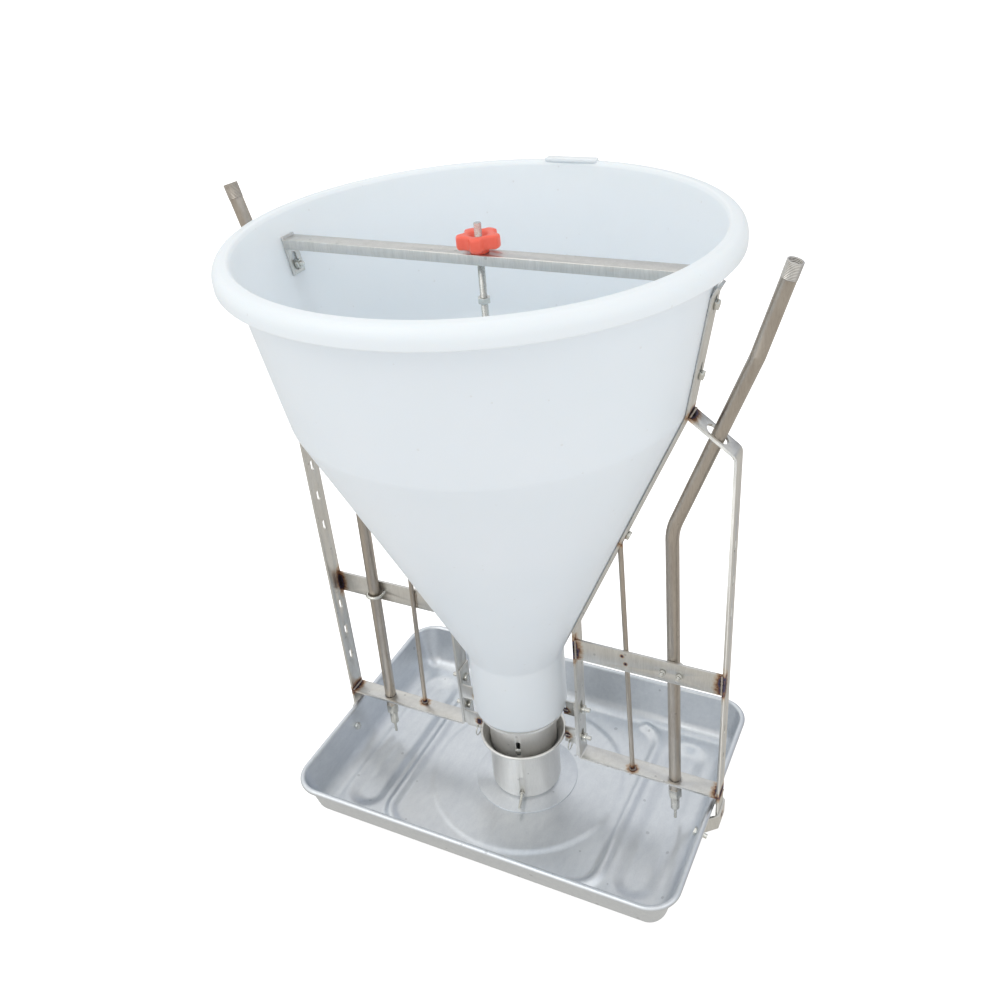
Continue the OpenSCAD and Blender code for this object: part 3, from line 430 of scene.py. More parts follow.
class Effects:
    """Node groups that more than one finish uses, each built once."""

    def __init__(self) -> None:
        """Builds the groups."""
        self.grain = self._grain()
        self.smudges = self._smudges()
        self.specks = self._specks()
        self.near_weld = self._near_weld()
        self.tint = self._tint()
        self.thread = self._thread()

    @staticmethod
    def _group(
        name: str, inputs: dict[str, tuple[str, object]], outputs: dict[str, str]
    ) -> tuple[Graph, dict, dict]:
        """Starts a node group.

        Args:
            name: The group's name.
            inputs: Name of each input with its socket type and default.
            outputs: Name and socket type of each output.

        Returns:
            The graph, the sockets that its inputs come from, and the sockets that its outputs go to.
        """
        tree = bpy.data.node_groups.new(name, "ShaderNodeTree")
        for key, (kind, default) in inputs.items():
            socket = tree.interface.new_socket(key, in_out="INPUT", socket_type="NodeSocket" + kind)
            socket.default_value = default
        for key, kind in outputs.items():
            tree.interface.new_socket(key, in_out="OUTPUT", socket_type="NodeSocket" + kind)
        graph = Graph(tree)
        source = tree.nodes.new("NodeGroupInput")
        sink = tree.nodes.new("NodeGroupOutput")
        return graph, {k: source.outputs[k] for k in inputs}, {k: sink.inputs[k] for k in outputs}

    def _grain(self) -> bpy.types.NodeTree:
        """Fine streaks along one direction, as rolling and brushing leave on steel.

        Returns:
            The group.
        """
        graph, given, out = self._group(
            "Rolled grain",
            {"Vector": ("Vector", (0, 0, 0)), "Stretch": ("Vector", (1, 1, 1)), "Fineness": ("Float", 900.0)},
            {"Streaks": "Float", "Cloud": "Float"},
        )
        along = graph.vector("MULTIPLY", given["Vector"], given["Stretch"]).outputs[0]
        fine = graph.add("TexNoise", Vector=along, Scale=given["Fineness"], Detail=3.0, Roughness=0.6)
        coarse = graph.math("MULTIPLY", given["Fineness"], 0.14)
        broad = graph.add("TexNoise", Vector=along, Scale=coarse, Detail=4.0)
        cloud = graph.add("TexNoise", Vector=given["Vector"], Scale=11.0, Detail=5.0, Roughness=0.62)
        fine_share = graph.math("MULTIPLY", fine.outputs[0], 0.55)
        broad_share = graph.math("MULTIPLY", broad.outputs[0], 0.45)
        graph.feed(out["Streaks"], graph.math("ADD", fine_share, broad_share))
        graph.feed(out["Cloud"], cloud.outputs[0])
        return graph.tree

    def _smudges(self) -> bpy.types.NodeTree:
        """Soft patches where hands, water or a rag have been.

        Returns:
            The group.
        """
        graph, given, out = self._group(
            "Smudges", {"Vector": ("Vector", (0, 0, 0)), "Size": ("Float", 9.0)}, {"Mask": "Float"}
        )
        bend = graph.add("TexNoise", Vector=given["Vector"], Scale=given["Size"], Detail=2.0)
        warped = graph.vector("MULTIPLY_ADD", bend.outputs["Color"], (0.09, 0.09, 0.09), given["Vector"])
        way = warped.outputs[0]
        patch = graph.add("TexNoise", Vector=way, Scale=given["Size"], Detail=6.0, Roughness=0.7)
        graph.feed(out["Mask"], graph.span(patch.outputs[0], 0.5, 0.72))
        return graph.tree

    def _specks(self) -> bpy.types.NodeTree:
        """Small scattered marks and dust.

        Returns:
            The group.
        """
        graph, given, out = self._group(
            "Specks",
            {"Vector": ("Vector", (0, 0, 0)), "Count": ("Float", 90.0), "Size": ("Float", 0.05)},
            {"Mask": "Float"},
        )
        cells = graph.add("TexVoronoi", {"feature": "F1"}, Vector=given["Vector"], Scale=given["Count"])
        chosen = graph.add("SeparateColor", Color=cells.outputs["Color"]).outputs[0]
        size = graph.math("MULTIPLY", given["Size"], chosen)
        near = graph.math("LESS_THAN", cells.outputs["Distance"], size)
        rare = graph.math("GREATER_THAN", chosen, 0.72)
        graph.feed(out["Mask"], graph.math("MULTIPLY", near, rare))
        return graph.tree

    def _near_weld(self) -> bpy.types.NodeTree:
        """How far a point is from a weld, as a share of the tint's reach.

        Returns:
            The group.
        """
        graph, given, out = self._group(
            "Near weld",
            {
                "Vector": ("Vector", (0, 0, 0)),
                "Centre": ("Vector", (0, 0, 0)),
                "Stretch": ("Vector", (1, 1, 1)),
                "Reach": ("Float", 0.02),
                "So Far": ("Float", 9.0),
            },
            {"Share": "Float"},
        )
        gap = graph.vector("SUBTRACT", given["Vector"], given["Centre"]).outputs[0]
        gap = graph.vector("MULTIPLY", gap, given["Stretch"]).outputs[0]
        share = graph.math("DIVIDE", graph.vector("LENGTH", gap).outputs["Value"], given["Reach"])
        graph.feed(out["Share"], graph.math("MINIMUM", share, given["So Far"]))
        return graph.tree

    def _tint(self) -> bpy.types.NodeTree:
        """The colours that heat leaves on stainless steel, from scale at the weld to straw at the edge.

        Returns:
            The group.
        """
        graph, given, out = self._group(
            "Heat tint",
            {
                "Vector": ("Vector", (0, 0, 0)),
                "Share": ("Float", 9.0),
                "Steel": ("Color", (0.5, 0.5, 0.5, 1.0)),
            },
            {"Color": "Color", "Scale": "Float"},
        )
        ragged = graph.add("TexNoise", Vector=given["Vector"], Scale=170.0, Detail=4.0)
        moved = graph.math("ADD", given["Share"], graph.span(ragged.outputs[0], 0.3, 0.7, -0.14, 0.14))
        bands = graph.ramp(
            moved,
            [
                (0.0, (0.035, 0.028, 0.024)),
                (0.2, (0.06, 0.045, 0.04)),
                (0.36, (0.10, 0.09, 0.16)),
                (0.5, (0.23, 0.12, 0.07)),
                (0.68, (0.46, 0.27, 0.13)),
                (0.86, (0.56, 0.44, 0.30)),
                (1.0, (0.58, 0.52, 0.44)),
            ],
        )
        cover = graph.span(moved, 0.5, 1.0, 1.0, 0.0)
        graph.feed(out["Color"], graph.mix(cover, given["Steel"], bands))
        graph.feed(out["Scale"], graph.span(moved, 0.25, 0.6, 1.0, 0.0))
        return graph.tree

    def _thread(self) -> bpy.types.NodeTree:
        """The ridges of a screw thread along an axis.

        Returns:
            The group.
        """
        graph, given, out = self._group(
            "Screw thread",
            {
                "Vector": ("Vector", (0, 0, 0)),
                "Start": ("Vector", (0, 0, 0)),
                "Axis": ("Vector", (0, 0, 1)),
                "Length": ("Float", 0.02),
                "Pitch": ("Float", 0.0015),
            },
            {"Height": "Float", "Cover": "Float"},
        )
        gap = graph.vector("SUBTRACT", given["Vector"], given["Start"]).outputs[0]
        along = graph.vector("DOT_PRODUCT", gap, given["Axis"]).outputs["Value"]
        half = graph.math("MULTIPLY", given["Length"], 0.5)
        off = graph.math("ABSOLUTE", graph.math("SUBTRACT", along, half))
        within = graph.math("LESS_THAN", off, half)
        turns = graph.math("DIVIDE", along, given["Pitch"])
        ridge = graph.math("MULTIPLY", graph.math("PINGPONG", turns, 0.5), 2.0)
        graph.feed(out["Height"], graph.math("MULTIPLY", ridge, within))
        graph.feed(out["Cover"], within)
        return graph.tree


@dataclass(frozen=True)
class Thread:
    """A screw thread, in millimetres.

    Attributes:
        start: Where it begins, in the right half of the feeder.
        axis: The way it runs.
        length: Its length.
        pitch: Distance between its ridges.
        pale: How whitish it is.
    """

    start: Place
    axis: Place
    length: float
    pitch: float
    pale: float = 0.6


class Finish:
    """A procedural material with its graph, shader and object coordinates."""

    def __init__(self, name: str, effects: Effects) -> None:
        """Starts a material.

        Args:
            name: The finish in a maker's words.
            effects: The shared node groups.
        """
        self.material = bpy.data.materials.new(name)
        self.material.use_nodes = True
        self.material.node_tree.nodes.clear()
        self.graph = Graph(self.material.node_tree)
        self.effects = effects
        self.shader = self.graph.add("BsdfPrincipled")
        sink = self.graph.add("OutputMaterial")
        self.graph.feed(sink.inputs["Surface"], self.shader.outputs[0])
        self.here = self.graph.add("TexCoord").outputs["Object"]

    def use(self, group: bpy.types.NodeTree, **inputs: object) -> bpy.types.Node:
        """Places a shared effect, on object coordinates unless it is given others.

        Args:
            group: The effect.
            **inputs: Values or sockets for its inputs, with _ for a space.

        Returns:
            The group's node.
        """
        return self.graph.add("Group", {"node_tree": group}, **{"Vector": self.here, **inputs})

    def smudges(self, size: float) -> bpy.types.NodeSocket:
        """Adds soft patches and returns their mask."""
        return self.use(self.effects.smudges, Size=size).outputs[0]

    def specks(self, count: float, size: float) -> bpy.types.NodeSocket:
        """Adds scattered marks and returns their mask."""
        return self.use(self.effects.specks, Count=count, Size=size).outputs[0]

    def noise(self, scale: float, detail: float = 2.0) -> bpy.types.NodeSocket:
        """Adds a cloud of noise and returns its height."""
        return self.graph.add("TexNoise", Vector=self.here, Scale=scale, Detail=detail).outputs[0]

    def set(self, **inputs: object) -> None:
        """Sets the shader's sockets, with _ for a space."""
        for key, value in inputs.items():
            self.graph.feed(self.shader.inputs[key.replace("_", " ")], value)

    def bump(self, height: object, distance: float) -> None:
        """Raises the surface by a height in metres."""
        node = self.graph.add("Bump", Distance=distance, Height=height)
        self.set(Normal=node.outputs[0])


THREAD_WHITE = (0.78, 0.77, 0.74)


@dataclass(frozen=True)
class Steel:
    """A stainless finish.

    Attributes:
        colour: Reflected colour of the clean sheet or bar.
        shade: Colour of its duller streaks.
        roughness: Least and greatest roughness.
        stretch: Streaks are long along the axis with the smallest number.
        relief: Height of the grain in millimetres.
        smudge: Colour of handled patches.
        smudge_strength: How strongly they show.
        smudge_size: How many of them fit in a metre.
        fineness: Grain lines in a metre.
        specks: Cells of small marks in a metre.
        speck_size: The greatest mark's share of its cell.
        speck_strength: How strongly the marks show.
        speck_shade: Their share of the streaks' brightness.
        metal: How metallic it is; a dull skin is less so.
    """

    colour: Colour
    shade: Colour
    roughness: tuple[float, float]
    stretch: Place = (1.0, 1.0, 1.0)
    relief: float = 0.02
    smudge: Colour = (0.62, 0.66, 0.72)
    smudge_strength: float = 0.25
    smudge_size: float = 14.0
    fineness: float = 900.0
    specks: float = 60.0
    speck_size: float = 0.16
    speck_strength: float = 0.35
    speck_shade: float = 0.45
    metal: float = 1.0

    def material(
        self,
        name: str,
        effects: Effects,
        scorches: Sequence[Scorch] = (),
        turned: bool = False,
        thread: Thread | None = None,
    ) -> bpy.types.Material:
        """Builds the finish.

        Args:
            name: The material's name.
            effects: The shared node groups.
            scorches: Welds whose heat shows.
            turned: Whether the piece is on the left, half a turn from the welds' places.
            thread: A screw thread cut in the piece.

        Returns:
            The material.
        """
        finish = Finish(name, effects)
        graph = finish.graph
        grain = finish.use(effects.grain, Stretch=self.stretch, Fineness=self.fineness)
        streaks = graph.span(grain.outputs["Streaks"], 0.35, 0.65)
        steel = graph.mix(streaks, self.shade, self.colour)
        handled = graph.math("MULTIPLY", finish.smudges(self.smudge_size), self.smudge_strength)
        steel = graph.mix(handled, steel, self.smudge)
        marked = graph.math("MULTIPLY", finish.specks(self.specks, self.speck_size), self.speck_strength)
        steel = graph.mix(marked, steel, tuple(c * self.speck_shade for c in self.shade))
        rough = graph.span(grain.outputs["Cloud"], 0.3, 0.7, *self.roughness)
        place = finish.here
        if turned:
            place = graph.vector("MULTIPLY", place, (-1.0, -1.0, 1.0)).outputs[0]
        share: object = 9.0
        for scorch in scorches:
            share = finish.use(
                effects.near_weld,
                Vector=place,
                Centre=tuple(c * MM for c in scorch.centre),
                Stretch=scorch.stretch,
                Reach=scorch.reach * MM,
                So_Far=share,
            ).outputs[0]
        if scorches:
            tint = finish.use(effects.tint, Vector=place, Share=share, Steel=steel)
            steel = tint.outputs["Color"]
            rough = graph.math("ADD", rough, graph.math("MULTIPLY", tint.outputs["Scale"], 0.3))
        finish.set(Base_Color=steel, Metallic=self.metal, Roughness=rough)
        if thread is None:
            finish.bump(grain.outputs["Streaks"], self.relief * MM)
            return finish.material
        ridges = finish.use(
            effects.thread,
            Vector=place,
            Start=tuple(c * MM for c in thread.start),
            Axis=thread.axis,
            Length=thread.length * MM,
            Pitch=thread.pitch * MM,
        )
        cover = graph.math("MULTIPLY", ridges.outputs["Cover"], thread.pale)
        finish.set(Base_Color=graph.mix(cover, steel, THREAD_WHITE))
        finish.bump(ridges.outputs["Height"], 0.4 * thread.pitch * MM)
        return finish.material


@dataclass(frozen=True)
class Polyethylene:
    """Milky moulded plastic, whiter at the lip, with painted light inside: inward-facing faces take a
    brighter, bluer colour that stands in for light showing through the milky wall.
    """

    dull: Colour = (0.78, 0.84, 0.89)
    clear: Colour = (0.81, 0.86, 0.91)
    # Painted light: the brighter, bluer colour of the inward faces stands in for light shining through the
    # wall.
    painted_inside_light: Colour = (0.88, 0.94, 0.985)
    lip: Colour = (0.90, 0.945, 0.965)
    speck: Colour = (0.62, 0.62, 0.60)
    lip_share: float = 0.6
    lip_from: float = 0.98
    lip_to: float = 1.03

    def material(self, effects: Effects) -> bpy.types.Material:
        """Builds the finish.

        Args:
            effects: The shared node groups.

        Returns:
            The material.
        """
        finish = Finish("milky polyethylene", effects)
        graph = finish.graph
        level = graph.vector("MULTIPLY", finish.here, (1.0, 1.0, 0.0)).outputs[0]
        away = graph.vector("NORMALIZE", level).outputs[0]
        normal = graph.add("NewGeometry").outputs["Normal"]
        facing = graph.vector("DOT_PRODUCT", normal, away).outputs["Value"]
        height = graph.add("SeparateXYZ", Vector=finish.here).outputs[2]
        shade = graph.mix(graph.span(finish.noise(5.0, 3.0), 0.3, 0.7), self.dull, self.clear)
        # Painted light: faces that look inward take the brighter, bluer inside colour, standing in for light
        # shining through the wall.
        shade = graph.mix(graph.span(facing, -0.35, 0.1, 1.0, 0.0), shade, self.painted_inside_light)
        whiter = graph.span(height, self.lip_from, self.lip_to, 0.0, self.lip_share)
        shade = graph.mix(whiter, shade, self.lip)
        shade = graph.mix(graph.math("MULTIPLY", finish.specks(55.0, 0.1), 0.25), shade, self.speck)
        finish.set(
            Base_Color=shade,
            Roughness=graph.span(finish.smudges(7.0), 0.0, 1.0, 0.36, 0.46),
            Subsurface_Weight=0.25,
            Subsurface_Radius=(0.012, 0.014, 0.016),
            Subsurface_Scale=1.0,
            IOR=1.5,
        )
        finish.bump(finish.noise(420.0), 0.00004)
        return finish.material


@dataclass(frozen=True)
class KnobPlastic:
    """Orange-red moulded plastic with a faint grain and handling marks."""

    dull: Colour = (0.95, 0.14, 0.085)
    clear: Colour = (0.98, 0.17, 0.11)

    def material(self, effects: Effects) -> bpy.types.Material:
        """Builds the finish.

        Args:
            effects: The shared node groups.

        Returns:
            The material.
        """
        finish = Finish("orange-red knob plastic", effects)
        graph = finish.graph
        finish.set(
            Base_Color=graph.mix(graph.span(finish.noise(60.0, 4.0), 0.35, 0.65), self.dull, self.clear),
            Roughness=graph.span(finish.smudges(40.0), 0.0, 1.0, 0.34, 0.46),
            Subsurface_Weight=0.08,
            Subsurface_Radius=(0.004, 0.001, 0.001),
            Subsurface_Scale=1.0,
            IOR=1.5,
        )
        finish.bump(finish.noise(1800.0), 0.00003)
        return finish.material


@dataclass(frozen=True)
class Rubber:
    """Black rubber with a dull bloom."""

    deep: Colour = (0.018, 0.018, 0.018)
    bloom: Colour = (0.06, 0.06, 0.058)

    def material(self, effects: Effects) -> bpy.types.Material:
        """Builds the finish.

        Args:
            effects: The shared node groups.

        Returns:
            The material.
        """
        finish = Finish("black rubber", effects)
        graph = finish.graph
        bloom = finish.smudges(60.0)
        finish.set(
            Base_Color=graph.mix(graph.math("MULTIPLY", bloom, 0.4), self.deep, self.bloom),
            Roughness=graph.span(bloom, 0.0, 1.0, 0.62, 0.8),
        )
        finish.bump(finish.noise(2200.0, 3.0), 0.00005)
        return finish.material


@dataclass
class Hopper:
    """The moulded hopper: steep wall, cone and neck under a rolled lip.

    Sizes are the outside of the wall, in millimetres.
    """

    lip_r: float = 343.5
    lip_top: float = 1032.0
    lip_h: float = 29.0
    wall_top_r: float = 320.0
    kink_r: float = 286.0
    kink_z: float = 801.0
    neck_top: float = 324.0
    neck_r: float = 80.5
    neck_bottom: float = 190.3
    mouth_r: float = 59.3
    wall: float = 5.0
    segments: int = 192
    wave: float = 0.7
    lip_band: float = 14.0
    fillet_steps: int = 8
    fillet_span: float = 24.0
    crease: float = 50.0
    pad: Place = (84.0, 14.0, 6.4)
    pad_y: float = 322.6
    pad_rise: float = 3.9
    pad_edge: float = 1.8

    def profile(self) -> list[Vector]:
        """Returns the closed outline of the wall, seen in the XZ plane."""
        foot = self.lip_top - self.lip_h
        slope = (self.wall_top_r - self.kink_r) / (foot - self.kink_z)
        cone = (self.kink_r - self.neck_r) / (self.kink_z - self.neck_top)
        thick = self.wall * math.sqrt(1 + slope * slope)
        side = self.wall * math.sqrt(1 + cone * cone)
        inner_top = self.wall_top_r + (self.lip_h - 2) * slope - thick
        under = self.neck_bottom + self.wall
        points = [
            (self.mouth_r, under, 0),
            (self.mouth_r, self.neck_bottom, 0.8),
            (self.neck_r, self.neck_bottom, 12),
            (self.neck_r, self.neck_top, 26),
            (self.kink_r, self.kink_z, 40),
            (self.wall_top_r, foot, 5),
            (self.wall_top_r + self.wall + 1, foot + 5, 2),
            (self.lip_r - self.wall, foot + 5, 2),
            (self.lip_r - self.wall, foot, 1.2),
            (self.lip_r, foot, 3.0),
            (self.lip_r, self.lip_top - 11, 20),
            (self.lip_r - 8, self.lip_top - 1, 12),
            (inner_top + 2, self.lip_top, 5),
            (inner_top - 1.4, self.lip_top - 6, 8),
            (self.wall_top_r - thick, foot, 30),
            (self.kink_r - side, self.kink_z, 40),
            (self.neck_r - self.wall, self.neck_top + 4, 24),
            (self.neck_r - self.wall, under, 8),
            (self.mouth_r, under, 0),
        ]
        return rounded_line(points, self.fillet_steps)[:-1]

    def build(self, finish: bpy.types.Material) -> None:
        """Makes the hopper and the pad on its lip.

        Args:
            finish: Its plastic.
        """
        bands = ("hopper_wall", "hopper_cone", "hopper_neck")
        piece = Piece("hopper_shell", Body.FEEDER, Slot.HOPPER, bands)
        outline = piece.line(self.finer(self.profile(), self.fillet_span), closed=True)
        piece.spin(outline, self.segments)
        piece.weld()
        piece.face_out()
        self.settle(piece)
        piece.finish(finish, self.crease)
        pad = Piece("hopper_pad", Body.FEEDER, Slot.HOPPER)
        bmesh.ops.create_cube(pad.mesh, size=1.0, matrix=Matrix.Diagonal((*self.pad, 1.0)))
        pad.place(Matrix.Translation((0, self.pad_y, self.lip_top + self.pad_rise - self.pad[2] / 2)))
        pad.soften(self.pad_edge)
        pad.finish(finish, self.crease)

    @staticmethod
    def finer(points: list[Vector], longest: float) -> list[Vector]:
        """Splits the long stretches of a closed line.

        Args:
            points: The line's points.
            longest: The longest stretch that is left.

        Returns:
            The finer line.
        """
        line: list[Vector] = []
        for here, after in zip(points, [*points[1:], points[0]]):
            parts = max(1, math.ceil((after - here).length / longest))
            line.extend(here.lerp(after, part / parts) for part in range(parts))
        return line

    def settle(self, piece: Piece) -> None:
        """Gives the walls the slight unevenness of a moulding that has cooled.

        Args:
            piece: The hopper.
        """
        for spot in piece.mesh.verts:
            reach = math.hypot(spot.co.x, spot.co.y)
            height = (spot.co.z - self.neck_top) / (self.lip_top - self.neck_top)
            if height < 0 or reach > self.lip_r - self.lip_band:
                continue
            turn = math.atan2(spot.co.y, spot.co.x)
            swell = noise.noise(Vector((2.2 * math.cos(turn), 2.2 * math.sin(turn), 3 * height)))
            share = math.sin(math.pi * min(1.0, height))
            spot.co.x += math.cos(turn) * swell * self.wave * share
            spot.co.y += math.sin(turn) * swell * self.wave * share


@dataclass
class Trough:
    """The deep-drawn trough: a floor with two basins, two ridges and a round panel inside rolled walls."""

    corner_x: float = 296.0
    corner_y: float = 189.0
    floor_z: float = 10.0
    floor_step: float = 4.0
    foot_u: float = 3.0
    foot_r: float = 26.0
    draft: float = 14.0
    head_u: float = 42.0
    roll_r: float = 5.0
    top: float = 90.0
    sheet: float = 1.5
    basin_x: float = 256.0
    basin_half: float = 42.0
    basin_depth: float = 8.5
    basin_straight: float = 140.0
    ridge_x: float = 199.0
    ridge_half: float = 13.0
    ridge_h: float = 8.0
    pan_corner: float = 48.0
    panel_r: float = 178.0
    panel_h: float = 2.5
    panel_ramp: float = 7.0
    basin_flat: float = 0.3
    bead_power: float = 0.8
    fade_h: float = 30.0
    foot_steps: int = 12
    wall_steps: int = 8
    roll_steps: int = 16
    roll_turn: float = 285.0
    corner_steps: int = 18
    relief_reach: float = 40.0

    def wall_line(self) -> list[Vector]:
        """Returns the inside of the wall from the floor to the rolled rim, X being the way out."""
        lean = math.radians(self.draft)
        foot = Vector((self.foot_u, 0, self.floor_z + self.foot_r))
        line = [Vector((0, 0, self.floor_z)), Vector((self.foot_u * 0.5, 0, self.floor_z))]
        for step in range(self.foot_steps + 1):
            turn = -math.pi / 2 + (math.pi / 2 - lean) * step / self.foot_steps
            line.append(foot + self.foot_r * Vector((math.cos(turn), 0, math.sin(turn))))
        head = Vector((self.head_u, 0, self.top - self.roll_r))
        start = line[-1]
        line.extend(start.lerp(head, step / self.wall_steps) for step in range(1, self.wall_steps))
        roll = head + Vector((self.roll_r, 0, 0))
        for step in range(self.roll_steps + 1):
            turn = math.radians(180 - self.roll_turn * step / self.roll_steps)
            line.append(roll + self.roll_r * Vector((math.cos(turn), 0, math.sin(turn))))
        return line

    def relief(self, x: float, y: float) -> float:
        """Height of the pressed forms above the flat floor.

        Args:
            x: Place along the trough.
            y: Place across it.

        Returns:
            The height in millimetres.
        """
        reach = abs(x)
        basin = math.hypot(reach - self.basin_x, max(0.0, abs(y) - self.basin_straight)) / self.basin_half
        rim = max(0.0, (basin - self.basin_flat) / (1 - self.basin_flat))
        sunk = -self.basin_depth * self.bell(rim)
        past_x = max(0.0, reach - self.ridge_x + self.pan_corner)
        past_y = max(0.0, abs(y) - self.corner_y - self.foot_u + self.pan_corner)
        across = abs(math.hypot(past_x, past_y) - self.pan_corner) / self.ridge_half
        begun = min(1.0, past_x / self.ridge_half)
        bead = begun * self.ridge_h * self.bell(across) ** self.bead_power
        panel = self.panel_h * min(1.0, max(0.0, (self.panel_r - math.hypot(x, y)) / self.panel_ramp))
        return sunk + bead + panel

    @staticmethod
    def bell(share: float) -> float:
        """Falls smoothly from 1 at nought to 0 at one."""
        return 0.5 + 0.5 * math.cos(math.pi * min(1.0, share))

    def build(self, finish: bpy.types.Material) -> None:
        """Makes the trough.

        Args:
            finish: Its steel.
        """
        piece = Piece("trough_pressing", Body.FEEDER, Slot.TROUGH, ("trough",))
        columns = round(2 * self.corner_x / self.floor_step)
        rows = round(2 * self.corner_y / self.floor_step)
        bmesh.ops.create_grid(piece.mesh, x_segments=columns, y_segments=rows, size=1.0)
        bmesh.ops.scale(piece.mesh, vec=(self.corner_x, self.corner_y, 1), verts=list(piece.mesh.verts))
        piece.place(Matrix.Translation((0, 0, self.floor_z)))
        wall = self.wall_line()
        for side in (1, -1):
            out_x = Matrix.Diagonal((side, 1, 1, 1))
            end_foot = Vector((side * self.corner_x, -self.corner_y, 0))
            end_wall = [out_x @ p + end_foot for p in wall]
            piece.pull(piece.line(end_wall), Vector((0, 2 * self.corner_y, 0)), rows)
            side_foot = Vector((-self.corner_x, side * self.corner_y, 0))
            side_wall = [Vector((0, side * p.x, p.z)) + side_foot for p in wall]
            piece.pull(piece.line(side_wall), Vector((2 * self.corner_x, 0, 0)), columns)
        for corner in range(4):
            self.corner(piece, wall, corner)
        piece.weld(0.02)
        bmesh.ops.dissolve_degenerate(piece.mesh, dist=WELDED, edges=list(piece.mesh.edges))
        for spot in piece.mesh.verts:
            fade = max(0.0, 1 - (spot.co.z - self.floor_z) / self.fade_h)
            past_x = max(0, abs(spot.co.x) - self.corner_x)
            past_y = max(0, abs(spot.co.y) - self.corner_y)
            if math.hypot(past_x, past_y) < self.relief_reach:
                spot.co.z += self.relief(spot.co.x, spot.co.y) * fade
        piece.face_out()
        middle = min(piece.mesh.faces, key=self.off_middle)
        if middle.normal.z < 0:
            bmesh.ops.reverse_faces(piece.mesh, faces=list(piece.mesh.faces))
        made = piece.finish(finish, 60.0)
        thick = made.modifiers.new("sheet", "SOLIDIFY")
        thick.thickness = self.sheet * MM
        thick.offset = -1.0

    @staticmethod
    def off_middle(face: bmesh.types.BMFace) -> float:
        """Returns how far a face is from the middle."""
        return abs(face.calc_center_median().x) + abs(face.calc_center_median().y)

    def corner(self, piece: Piece, wall: list[Vector], quarter: int) -> None:
        """Turns the wall round one corner.

        Args:
            piece: The trough.
            wall: The wall's line.
            quarter: Which corner, counted from +X +Y.
        """
        known = set(piece.mesh.verts)
        piece.spin(piece.line(wall), self.corner_steps, 90.0)
        fresh = [v for v in piece.mesh.verts if v not in known]
        piece.place(Matrix.Rotation(quarter * math.pi / 2, 4, "Z"), fresh)
        sign_x = 1 if quarter in (0, 3) else -1
        sign_y = 1 if quarter in (0, 1) else -1
        piece.place(Matrix.Translation((sign_x * self.corner_x, sign_y * self.corner_y, 0)), fresh)


